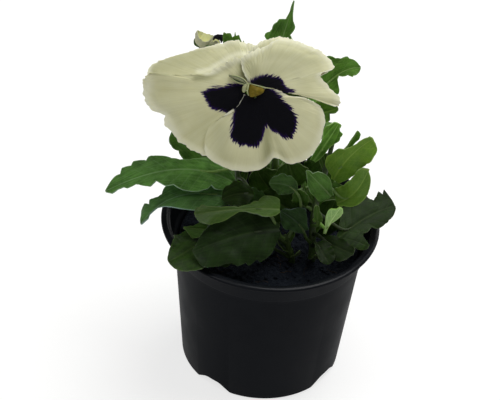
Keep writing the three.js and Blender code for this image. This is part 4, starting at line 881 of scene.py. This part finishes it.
# Stipules are darkened by half as painted shade.
stipule = {"teeth": 1, "widest": 0.4, "tone": 0.5, "thickness": 0.4}


def spined(line, looks):
    return {**looks, "base": line[0], "mid": line[1], "tip": line[2]}


def makeStem(name, stem):
    shares = np.linspace(0, 1, 40)
    radii = np.interp(shares, [0, 1], stem["radii"])
    for at, _, _ in stem["stipules"]:
        radii = radii + 0.25 * np.exp(-((shares - at) / 0.03) ** 2)
    parts = [(bareTube(evenPoints(stem["path"], shares), radii, 18, stem["tone"]), 0)]
    for at, heading, length in stem["stipules"]:
        out = np.array([math.cos(math.radians(heading)), math.sin(math.radians(heading)), 0])
        base = evenPoints(stem["path"], [at])[0]
        line = (base, base + (out * 0.5 + (0, 0, 0.42)) * length, base + (out * 0.75 + (0, 0, 0.95)) * length)
        leaflet = {**spined(line, stipule), "face": (-out[0], -out[1], 0.8), "width": length * 0.4}
        parts.append((makeBlade(leaflet, "stipule", 0.4), 1))
    piece = joined(parts, name + "_fine")
    soften(piece)
    dress(piece, name, "stem", "stem", "leafUnderside", "leafBlade")


for name, stem in stems.items():
    makeStem("stem_" + name, stem)
print("stems made")


# The open bloom, drawn in its own frame: x to the right, y up the face, z out of it, from the eye.
bloom = {"eye": (-10.6, -5, 135.8), "tilt": 52.3, "roll": 4.3}
faceTurn = np.array(Matrix.Rotation(math.radians(bloom["tilt"]), 3, "X")
                    @ Matrix.Rotation(math.radians(bloom["roll"]), 3, "Z"))


def fromFace(points, eye=bloom["eye"]):
    return np.asarray(points) @ faceTurn.T + eye


# Each edge point is x, y and the angle by which the petal bends back on its way there. blotch outlines the
# dark mark. Each olive, pale or ridge stroke runs through points, this wide and this strong: olive strokes
# paint shade into creases and folds, with some real olive near the claw, pale strokes paint highlights on lit
# folds and ridge strokes raise the surface. In the round of plain, x, y and radius, the margin lies against
# the petal behind and shows no pale rim, so no painted highlight on its edge.
petals = {
    "lower": {
        "claw": (0.5, -2.2, 2), "from": 0.02, "lean": (0, 0.1), "ruffle": 0.4, "frill": 0.6,
        "plain": (-14, -16, 6),
        "edge": [(4.6, 1.3, 0), (9.4, 0.2, 0), (11.2, -0.8, 0), (14.2, -2.1, 5), (18.9, -2.6, 10),
                 (21.7, -3.6, 15), (24.5, -5.3, 20), (26.3, -7.7, 25), (27, -12, 30), (25.1, -19.3, 25),
                 (21.3, -25.1, 20), (14, -27.9, 20), (8, -25.4, 12), (2.5, -29.9, 18), (-4.6, -30.6, 18),
                 (-11.4, -29, 18), (-18.1, -24.3, 15), (-18.7, -19.4, 14), (-17.1, -13.7, 14),
                 (-13, -10.6, 12), (-9.3, -8.2, 8), (-5.3, -4.6, 0), (-3.8, -1.4, 0)],
        "blotch": [(-5.5, -1.5), (-7.4, -5), (-7.7, -6.6), (-8.1, -10.4), (-9.2, -15.1), (-9.2, -17.5),
                   (-7.5, -19.5), (-5.1, -21), (-1.6, -21), (1.3, -21.3), (3.1, -18.7), (4.6, -14.6),
                   (5.1, -13.6), (7.8, -15.7), (11.3, -17.5), (13.7, -18.4), (15.5, -16.3), (16.3, -12.8),
                   (16.3, -9.2), (14.3, -6.3), (11.3, -3.4), (9.6, -1.2), (7.8, 0.6), (4.9, 1.8), (1, 2)],
        "olive": [([(4.8, -15), (5.5, -27)], 2.6, 0.75), ([(8, -18), (12, -27)], 1.6, 0.4),
                  ([(-13, -14), (-12, -26)], 4, 0.3), ([(5.5, 1), (9.4, 0.2), (11.4, -0.9)], 0.8, 0.75)]},
    "left": {
        "claw": (-1.8, 0, -0.2), "lean": (0.06, 0), "ruffle": 0.4, "frill": 1.5, "plain": (-31, 8, 11),
        "edge": [(-2.2, 5, 0), (-3.4, 9, 5), (-5.1, 12, 5), (-7, 12.6, 8), (-10, 11, 8), (-13.3, 9.1, 8),
                 (-17.3, 6.9, 8), (-23.6, 6.3, 8), (-31.2, 6.2, 8), (-38, 7, 14), (-41.3, 5.5, 30),
                 (-42.3, 2.7, 40), (-41.1, -4.6, 40), (-35.4, -9.1, 36), (-30.9, -16.4, 30),
                 (-25.9, -21.3, 25), (-17.9, -24.4, 20), (-11, -22, 10), (-3.5, -6, 0)],
        "blotch": [(-3, 2.6), (-7.5, 3), (-12.2, 1.8), (-16.3, 1.5), (-20.2, -0.6), (-18.7, -2.6),
                   (-18.1, -4.4), (-16.4, -6.7), (-12.2, -7.9), (-9.9, -8.7), (-7, -8.2), (-3.4, -4),
                   (-1, -1.5)],
        "olive": [([(-4.6, 11), (-3.6, 7), (-2.8, 4)], 2.4, 0.9),
                  ([(-22, 4.8), (-16.5, 5.6), (-12.5, 8), (-7, 11.4)], 1.3, 0.62),
                  ([(-40, 6.6), (-31, 6.2), (-24, 6.3)], 0.6, 0.5), ([(-34, -2), (-18, -9)], 9, 0.14),
                  ([(-20, -14), (-10, -20)], 5, 0.3)],
        "pale": [([(-41, 4), (-41, -4), (-35.4, -9.1), (-31, -16)], 2.6, 0.6)]},
    "right": {
        "claw": (2.4, 1.2, 0.9), "lean": (0, -0.05), "ruffle": 0.4, "frill": 0.8, "bow": 1.0,
        "edge": [(-2.4, 3.6, 0), (-4.1, 7.5, 0), (-4.8, 12, 20), (-3, 13.6, 40), (0.8, 15.6, 50),
                 (5, 17.2, 60), (9.1, 19.6, 65), (14.9, 19.1, 60), (21.3, 16.8, 55), (27.4, 13.5, 45),
                 (30.5, 8.8, 30), (25.4, 5.5, 10), (29, 1.1, 10), (32.8, -3, 10), (32.5, -5.3, 10),
                 (31, -6, 10)],
        "blotch": [(-2.1, 2.6), (-1.6, 4), (0.6, 5.5), (4.3, 6.4), (9.6, 5.5), (11.4, 3.2), (12.5, 1.4),
                   (16.1, 0.2), (14, -1.2), (6, -1.2), (1, 0.5)],
        "olive": [([(-2, 3.2), (-3.9, 7.5), (-4.5, 11)], 1, 1), ([(-3, 12), (-1, 9), (0, 6)], 3.4, 0.5),
                  ([(0, 12), (10, 14), (24, 11)], 3, 0.3), ([(3, 8), (14, 9)], 4, 0.2)]},
    "upper_front": {
        "claw": (0.6, 2.2, -2), "lean": (0, -0.05), "ruffle": 0.5, "frill": 0.8,
        "edge": [(-3.2, 9, 10), (-3, 13.5, 35), (0.5, 17.2, 45), (4, 19.4, 50), (10, 20.6, 55),
                 (15, 19.3, 55), (21, 17.2, 50), (27, 13.6, 45), (29.6, 9, 30), (24, 5.2, 10),
                 (15, 3.5, 0)],
        "olive": [([(0, 8), (2, 16)], 3, 0.4)]},
    "upper_back": {
        "claw": (0, 2.4, -3.3), "lean": (0.1, -0.5), "ruffle": 0.6, "frill": 0.9,
        "edge": [(-22, 3.5, 0), (-36, 4.5, 20), (-40.3, 6.5, 50), (-37, 10.9, 90), (-29.7, 13.7, 100),
                 (-20.2, 16.2, 90), (-13.5, 18, 60), (-6.9, 19.4, 45), (-3.5, 18.4, 40), (2, 17, 40),
                 (8, 11, 30)],
        "olive": [([(-25, 8), (-14, 11), (-6, 15)], 2.6, 0.3),
                  ([(-42, 5), (-36, 9), (-28, 12.5), (-21, 14.5)], 6, 0.45),
                  ([(-21, 14.5), (-14, 16.5), (-9, 17.5)], 4, 0.22)],
        "pale": [([(-21, 7.4), (-17.3, 7.9), (-13.3, 10.4), (-7, 13.8), (-3, 14.4)], 1.1, 0.5)],
        "ridge": [([(-25, 5.9), (-17.3, 6.1), (-13.3, 8.6), (-7, 12), (-3, 12.2)], 2.2, 1.15)]},
}
petalSheet = {
    "columns": 230, "rows": 60, "thickness": 0.36, "from": 0.05, "bow": 0, "ruffles": 6, "ribs": 0.06,
    "folds": 0.5, "frill": 0.3, "nicks": 0.9, "crease": 0.4, "creaseFrom": 3.0, "creaseWidth": 1.6,
    "reflexed": 50, "pale": (), "ridge": (), "viewFrom": 600, "viewCentre": (-1.5, -41.5),
}


def bent(angle, share, power=4.5, pieces=16):
    # How far a petal that bends by angle reaches out and falls back after a share of its length.
    reach, fall, whole, most = 0, 0, 0, 0
    for i in range(pieces):
        turn = angle * ((i + 0.5) / pieces) ** power
        part = np.clip(share * pieces - i, 0, 1) / pieces
        reach = reach + np.cos(turn) * part
        fall = fall + np.sin(turn) * part
        whole = whole + np.cos(turn) / pieces
        most = np.maximum(most, whole)
    return reach / most, fall / most


def petalSurface(petal, u, v):
    # The middle of the petal's thickness at u round its edge and v on the way there from the claw.
    claw = np.array(petal["claw"], float)
    goal = curvePoints(petal["edge"], u)
    ray = goal[:, :2] - claw[:2]
    out, back = bent(np.radians(goal[:, 2]), v)
    flat = ray * out[:, None]
    flat[:, 1] += petal["bow"] * u ** 10 * np.sin(np.pi * v)
    ripple = petal["ruffle"] * v ** 4 * np.sin(2 * np.pi * petal["ruffles"] * u)
    fall = np.linalg.norm(ray, axis=1) * back
    rise = petal["lean"][0] * flat[:, 0] + petal["lean"][1] * flat[:, 1] - fall + ripple
    return np.column_stack([flat, rise]) + claw


def insideDistance(points, outline):
    # Millimetres inside a closed outline, negative outside it.
    corners = np.array(outline, float)
    nearest = np.full(len(points), 1e9)
    inside = np.zeros(len(points), bool)
    for a, b in zip(corners, np.roll(corners, -1, axis=0)):
        run = b - a
        t = np.clip(((points - a) @ run) / (run @ run), 0, 1)
        nearest = np.minimum(nearest, np.linalg.norm(points - a - t[:, None] * run, axis=1))
        crosses = (a[1] > points[:, 1]) != (b[1] > points[:, 1])
        slope = run[0] * (points[:, 1] - a[1]) / (run[1] if run[1] else 1e-9) + a[0]
        inside ^= crosses & (points[:, 0] < slope)
    return np.where(inside, nearest, -nearest)


def strokesOver(points, strokes):
    # How strongly strokes drawn through points, each of a width and a strength, tint each place.
    found = np.zeros(len(points))
    for line, width, strength in strokes:
        path = evenPoints([(*p, 0) for p in line], np.linspace(0, 1, 24))[:, :2]
        nearest = np.min(np.linalg.norm(points[:, None] - path[None], axis=2), axis=1)
        found = np.maximum(found, strength * np.exp(-(nearest / width) ** 2))
    return found


def makePetal(name, petal):
    petal = {**petalSheet, **petal, "frill": petalSheet["frill"] * petal["frill"],
             "nicks": petalSheet["nicks"] * petal["frill"]}
    piece, u, w = startSheet(name + "_fine", petal["columns"], petal["rows"])
    v = petal["from"] * (1 - w) / 2 + (w + 1) / 2
    points = petalSurface(petal, u, v)
    radial = points[:, :2]
    claw = petal["claw"][:2]
    goal = curvePoints(petal["edge"], u)
    fromMargin = (1 - v) * np.linalg.norm(goal[:, :2] - claw, axis=1)
    seed = len(name) * 3.1
    ribs = noiseOver(u * 34, seed, v * 1.5)
    folds = noiseOver(*radial.T * 0.13, seed * 0.13)
    crinkle = noiseOver(u * 26, seed + 9, 0) + 0.5 * noiseOver(u * 70, seed, 4)
    nicks = noiseOver(u * 38, seed + 3, 2) + 0.6 * noiseOver(u * 90, seed, 8)
    wander = 1 + 0.6 * crinkle
    crease = np.exp(-((fromMargin - petal["creaseFrom"] * wander) / petal["creaseWidth"]) ** 2) * wander
    crease *= petal["crease"] * np.clip(goal[:, 2] / petal["reflexed"], 0, 1)
    lift = (petal["ribs"] * ribs + petal["folds"] * folds) * np.sin(np.pi * v)
    lift += petal["frill"] * crinkle * v ** 10
    normal = normalsOf(partial(petalSurface, petal), u, v)
    normal *= np.sign(normal[:, 2:] + 1e-9)
    outward = unit(points - np.array(petal["claw"])) * (petal["nicks"] * nicks * v ** 16)[:, None]
    shifted = points + normal * lift[:, None] + outward
    shifted[:, 2] += strokesOver(radial, petal["ridge"]) - crease
    # Outlines are drawn as they are seen, so what lies further back is made larger.
    shifted[:, :2] -= (shifted[:, :2] - petal["viewCentre"]) * shifted[:, 2:] / petal["viewFrom"]
    placeVertices(piece, fromFace(shifted))
    margin = curvePoints(petal["edge"], np.linspace(0, 1, 160))[:, :2]
    toSide = np.maximum(insideDistance(radial, [claw, *margin]), 0)
    edge = np.minimum(fromMargin, toSide + 0.4 * np.maximum(4 - np.linalg.norm(radial - claw, axis=1), 0))
    # Where the margin lies against the petal behind, the painted edge highlight is taken away.
    if "plain" in petal:
        x, y, radius = petal["plain"]
        away = np.hypot(radial[:, 0] - x, radial[:, 1] - y)
        hidden = 5 * (1 - smoothStep(away, radius * 0.8, radius * 1.2))
        edge, fromMargin = edge + hidden, fromMargin + hidden
    # The olive strokes give painted shade and the pale strokes painted highlights.
    paint(piece, heading=np.arctan2(radial[:, 1], radial[:, 0]), reach=np.linalg.norm(radial, axis=1),
          inBlotch=insideDistance(radial, petal["blotch"]) if "blotch" in petal else -9.0,
          edgeDistance=edge, marginDistance=fromMargin,
          olive=strokesOver(radial, petal["olive"]), pale=strokesOver(radial, petal["pale"]))
    modify(piece, "SOLIDIFY", thickness=petal["thickness"] * mm, offset=0)
    soften(piece, 60)
    dress(piece, name, "petal", "pansyPetal")


for name, petal in petals.items():
    makePetal("petal_" + name, petal)
print("petals made")


# Where the petals meet: a waxy golden wedge, pale green folds beside it and a narrow green gap with a filling
# of claw green behind it, both darkened as painted shade.
throat = {
    "wedge": [(-1.6, 2.4), (1.2, 1.5), (3.7, 0.6), (3.9, -0.3), (2.4, -1.6), (-1.2, -2.5), (-2.1, -0.9)],
    "profile": [(0, 4.6), (0.4, 4.5), (0.8, 4.1), (1, 3.5), (1, 3), (0.6, 2.7), (0.45, 1.5), (0.4, -3.7),
                (0, -3.7)],
    "folds": [([(-4, -0.5, 1.6), (-3.3, 0.9, 2.3), (-2.3, 2.3, 3)], 0.95),
              ([(-4.3, 0, 1.6), (-3.9, 1.4, 2.4), (-1.9, 2.7, 3.6)], 0.42),
              ([(-1.8, 2.8, 3.4), (-2.2, 1.2, 4), (-2.5, -0.6, 4), (-2, -2, 3.3)], 0.3),
              ([(-1.7, 2.6, 3.7), (1.2, 1.8, 3.9), (3.9, 1.1, 3.3), (7.5, 0.7, 2.4)], 0.2),
              ([(-9.7, 6.1, 0.2), (-6.5, 5.5, 0.8), (-3.8, 4.3, 1.4), (-2.2, 2.4, 2.6)], 0.26),
              ([(-9.4, 5.7, 0.2), (-7.2, 3.6, 0.7), (-4.4, 2.7, 1.2), (-2.4, 2.2, 2.4)], 0.3)],
    "shadedGap": [([(-9.5, 6.1, 0.2), (-6.6, 5, 0.9), (-4.2, 4, 1.3), (-2.4, 2.7, 2.2)], 0.34),
            ([(-8.9, 5.3, 0.2), (-6.6, 4.1, 0.9), (-4.2, 3.1, 1.3), (-2.4, 2.2, 2.2)], 0.4)],
    "fill": [([(-9.3, 5.8, 0.1), (-6.6, 4.6, 0.7), (-4.2, 3.6, 1), (-2.4, 2.4, 1.9)], 0.75)],
}


def makeThroat():
    corners = [(*p, 0) for p in throat["wedge"]]
    wedge, u, w = startSheet("wedge", 60, 32)
    around = evenPoints([*corners, corners[0]], u)[:, :2]
    middle = np.mean(throat["wedge"], axis=0)
    steps = range(len(throat["profile"]))
    share, height = (np.interp((w + 1) / 2 * steps[-1], steps, column) for column in zip(*throat["profile"]))
    spread = middle + (around - middle) * share[:, None]
    grain = noiseOver(*spread.T * 0.9, 0) * 0.35 * (height > 3)
    placeVertices(wedge, fromFace(np.column_stack([spread, height + grain])))
    paint(wedge, tone=1.0)
    weld(wedge)
    parts = [(wedge, 0)]
    shares = np.linspace(0, 1, 24)
    swell = 0.35 + 0.65 * np.sin(np.pi * np.clip(shares, 0.06, 0.94)) ** 0.7
    # The gap tubes are darkened to a quarter and the filling to half as painted shade.
    for key, tone, material in (("folds", 1.0, 1), ("shadedGap", 0.25, 2), ("fill", 0.5, 1)):
        for line, radius in throat[key]:
            tube = makeTube("fold", fromFace(evenPoints(line, shares)), radius * swell, 12, tone)
            parts.append((tube, material))
    piece = joined(parts, "throat_fine")
    soften(piece, 60)
    dress(piece, "throat", "throat", "throat", "claw", "stem")


makeThroat()


# The calyx behind the bloom: a green cup, five pointed sepals, the first one long, and the blunt spur.
# The cup, spur and sepals are darkened as painted shade.
calyx = {
    "middle": (0.5, 0.3), "headings": (-6, 66, 138, 210, 282), "longReach": 1.6, "fall": 1.5, "topFall": 6,
    "spur": [(0.5, -1, -7), (0.5, -3.6, -9.5), (0.5, -5, -12.5)],
    "cup": [(-3.9, 1.5), (-4.6, 2.3), (-5.6, 2.6), (-6.6, 2.5), (-7.6, 1.8), (-8.5, 0.9)],
    "sepal": {"face": faceTurn @ (0, 0, 1), "width": 4.6, "teeth": 1, "depth": 0, "widest": 0.35,
              "tone": 0.6, "veins": 3},
}


def makeCalyx():
    depths, radii = np.array(calyx["cup"]).T
    cup = [(*calyx["middle"], depth) for depth in depths]
    spur = evenPoints(calyx["spur"], np.linspace(0, 1, 12))
    parts = [(bareTube(fromFace(cup), radii, 24, 0.9), 0),
             (bareTube(fromFace(spur), np.linspace(1.3, 1, 12), 14, 0.9), 0)]
    for heading in calyx["headings"]:
        out = np.array([math.cos(math.radians(heading)), math.sin(math.radians(heading))])
        fall = calyx["topFall"] if out[1] > 0.2 else calyx["fall"]
        reach = calyx["longReach"] if heading == calyx["headings"][0] else 1
        stations = ((1.5, -6.6), (7 * reach, -7 - fall / 2), (13 * reach, -6.6 - fall))
        line = fromFace([(*(calyx["middle"] + out * far), depth) for far, depth in stations])
        parts.append((makeBlade(spined(line, calyx["sepal"]), "sepal"), 1))
    piece = joined(parts, "calyx_fine")
    soften(piece)
    dress(piece, "calyx", "leaf", "stem", "leafUnderside", "leafBlade")


makeCalyx()

# The second flower, half open, drawn square to the photograph's view: x right, y up, z to the viewer. Each
# petal goes from its far edge over its back to its near edge.
second = {
    "at": (-30.1, 31, 134.7),
    "cup": [[(-4.7, 3.9, -0.3), (-2.7, 3.4, -1.8), (-0.6, 2.7, -2), (1.8, 1.8, -0.6)],
            [(-5.5, 2.6, -0.2), (-5.3, -0.8, 0), (-2.6, -3.1, 0), (1.4, -1.8, 0)],
            [(-4.7, 3.9, 0.3), (-4, 0.9, 1.9), (-1, -1, 2.4), (1.8, 1.7, 0.6)]],
    "dark": [[(1, 0.5, -0.6), (2.1, 1.7, -0.8), (3.9, 2.3, -0.8), (5.4, 1.8, -0.8), (6.1, 0.2, -0.6)],
             [(1.4, 0.5, 0.5), (2.5, 1.4, 0.7), (3.9, 1.7, 0.7), (5.1, 1.1, 0.7), (5.5, -0.2, 0.5)],
             [(1.7, -0.3, 1.2), (2.6, 0.1, 1.4), (3.7, 0.1, 1.4), (4.6, -0.6, 1.4), (5.1, -1.3, 1.2)]],
    "cream": [[(1.1, -0.7, 0.4), (2.1, 0.4, 0.6), (3.4, 0.2, 0.6), (4.5, -1.1, 0.4)],
              [(1.5, -0.8, 1), (2.3, 0, 1.2), (3.3, -0.2, 1.2), (4.2, -1.4, 1)],
              [(1.9, -0.9, 1.4), (2.5, -0.5, 1.6), (3.1, -0.6, 1.6), (3.9, -1.8, 1.4)]],
    "core": [(-1.6, -2.4, 0), (0.5, -1.9, 0), (2.3, -1.3, 0.2), (4.2, -1.1, 0)],
    "coreRadii": (0.5, 1.1, 1.2, 0.7),
    "stub": [(-3.8, -4, -0.2), (-3.1, -3.3, -0.1), (-1.8, -2.6, 0)], "stubRadii": (0.8, 0.9, 1.0),
    "sepals": [[(-2.6, -3, 0.5), (-0.9, -3.1, 1.3), (1.4, -2.2, 1.5)],
               [(-2.4, -2.9, -0.6), (-0.9, -3, -1.7), (1.5, -2, -2)],
               [(-3, -2.4, -0.6), (-5.2, -1.4, -1.2), (-5.8, 0.8, -1.4)]],
    "sepal": {"face": faceTurn @ (0, -0.5, 0.9), "width": 1.8, "teeth": 1, "depth": 0, "widest": 0.4,
              "tone": 0.6, "veins": 2, "thickness": 0.35},
    "thickness": 0.3, "outside": -9.0, "inDark": 3.0,
}
fromSecond = partial(fromFace, eye=second["at"])


def wrappedSheet(key, inBlotch):
    piece, u, w = startSheet(key, 60, 26)
    points = throughThree(*(evenPoints(curve, u) for curve in second[key]), ((w + 1) / 2)[:, None])
    crinkle = noiseOver(u * 9, w * 3, 1.5)
    placeVertices(piece, fromSecond(points + crinkle[:, None] * (0.1, 0.25, 0.25)))
    edge = np.minimum(1 - np.abs(w), 2 * np.minimum(u, 1 - u) + 0.3) * 2
    # Each sheet turns darker olive towards its edges.
    paint(piece, heading=u * 1.2, reach=6 + 3 * w, inBlotch=inBlotch, edgeDistance=edge, marginDistance=edge,
          olive=np.clip(0.9 - edge, 0, 1))
    return thicken(piece, second["thickness"])


def makeSecondFlower():
    shares = np.linspace(0, 1, 20)
    tubes = {}
    for key in ("core", "stub"):
        radii = second[key + "Radii"]
        tubes[key] = (fromSecond(evenPoints(second[key], shares)),
                      np.interp(shares, np.linspace(0, 1, len(radii)), radii), 16)
    parts = [(wrappedSheet(key, second["inDark" if key == "dark" else "outside"]), 0)
             for key in ("cup", "dark", "cream")]
    core = makeTube("core", *tubes["core"])
    paint(core, heading=0.0, reach=8.0, inBlotch=second["outside"], edgeDistance=5.0, marginDistance=5.0,
          olive=0.7)
    piece = joined([*parts, (core, 0)], "second_bloom_fine")
    soften(piece, 60)
    dress(piece, "second_bloom", "fading_petal", "witheredPetal", "fadingPetal")
    # The stub and the sepals are darkened as painted shade.
    parts = [(bareTube(*tubes["stub"], 0.5), 0)]
    for line in second["sepals"]:
        parts.append((makeBlade(spined(fromSecond(line), second["sepal"]), "sepal", 0.4), 1))
    piece = joined(parts, "second_calyx_fine")
    soften(piece)
    dress(piece, "second_calyx", "leaf", "stem", "leafUnderside", "leafBlade")


makeSecondFlower()

# Flower stalks, bare, from a joint of the back stem to each calyx.
stalkRadii = {"at": (0, 0.04, 1), "radii": (1.235, 0.95, 0.8)}
stalks = {
    "bloom_stalk": {"at": 0.37, "path": [
        (-4, 10.5, 96), (-8, 9.4, 112), (-10, 7, 124), (-10.2, 5.2, 129), (-10.2, 2.9, 131)]},
    "bud_stalk": {"at": 0.7, "path": [
        (-12, 24, 112), (-22, 28, 117), (-30.5, 29.6, 123), (-33.9, 29.2, 128), (-33.7, 28.8, 131.2)]},
}


def makeStalk(name, stalk):
    foot, _ = leaveStem(stems["back"], stalk["at"], stalk["path"][0])
    shares = np.linspace(0, 1, 60)
    radii = np.interp(shares, stalkRadii["at"], stalkRadii["radii"])
    piece = makeTube(name + "_fine", evenPoints([foot, *stalk["path"]], shares), radii, 16)
    soften(piece)
    dress(piece, name, "stem", "stem")


for name, stalk in stalks.items():
    makeStalk(name, stalk)
print("flower parts made")


floor = {"size": 4, "colour": "#A0A09E", "glow": 0.72}


def makeFloor():
    piece = newPrimitive("plane", "floor", size=floor["size"])
    material, add = newMaterial("paleFloor")
    closeMaterial(add, {"Base Color": linear(floor["colour"]), "Roughness": 0.8, "Specular IOR Level": 0.1,
                        "Emission Color": (1, 1, 1, 1), "Emission Strength": floor["glow"]})
    piece.data.materials.append(material)


lights = {
    "key": {"from": (300, 200, 1150), "size": 900, "power": 10.5},
    "fill": {"from": (-600, -100, 1100), "size": 800, "power": 2.8},
    "front": {"from": (-150, -1100, 450), "size": 800, "power": 0.5},
    "back": {"from": (500, 800, 500), "size": 700, "power": 2.0},
}
sky = {"strength": 0.14, "seen": 1.0}


def placeLights():
    for name, lamp in lights.items():
        data = bpy.data.lights.new(name, "AREA")
        data.shape = "DISK"
        data.size = lamp["size"] * mm
        data.energy = lamp["power"]
        light = bpy.data.objects.new(name, data)
        light.location = Vector(lamp["from"]) * mm
        aim = Vector((0, 0, 90)) * mm - light.location
        light.rotation_euler = aim.to_track_quat("-Z", "Y").to_euler()
        bpy.context.collection.objects.link(light)
    world = bpy.data.worlds.new("studio")
    world.use_nodes = True
    tree = world.node_tree
    seen = addNode(tree, "LightPath", out="Is Camera Ray")
    strength = addNode(tree, "MapRange", {"Value": seen, "To Min": sky["strength"], "To Max": sky["seen"]})
    tree.links.new(strength, tree.nodes["Background"].inputs["Strength"])
    tree.nodes["Background"].inputs["Color"].default_value = (1, 1, 1, 1)
    bpy.context.scene.world = world
    bpy.context.scene.view_settings.view_transform = "Standard"


makeFloor()
placeLights()

print("scene done")
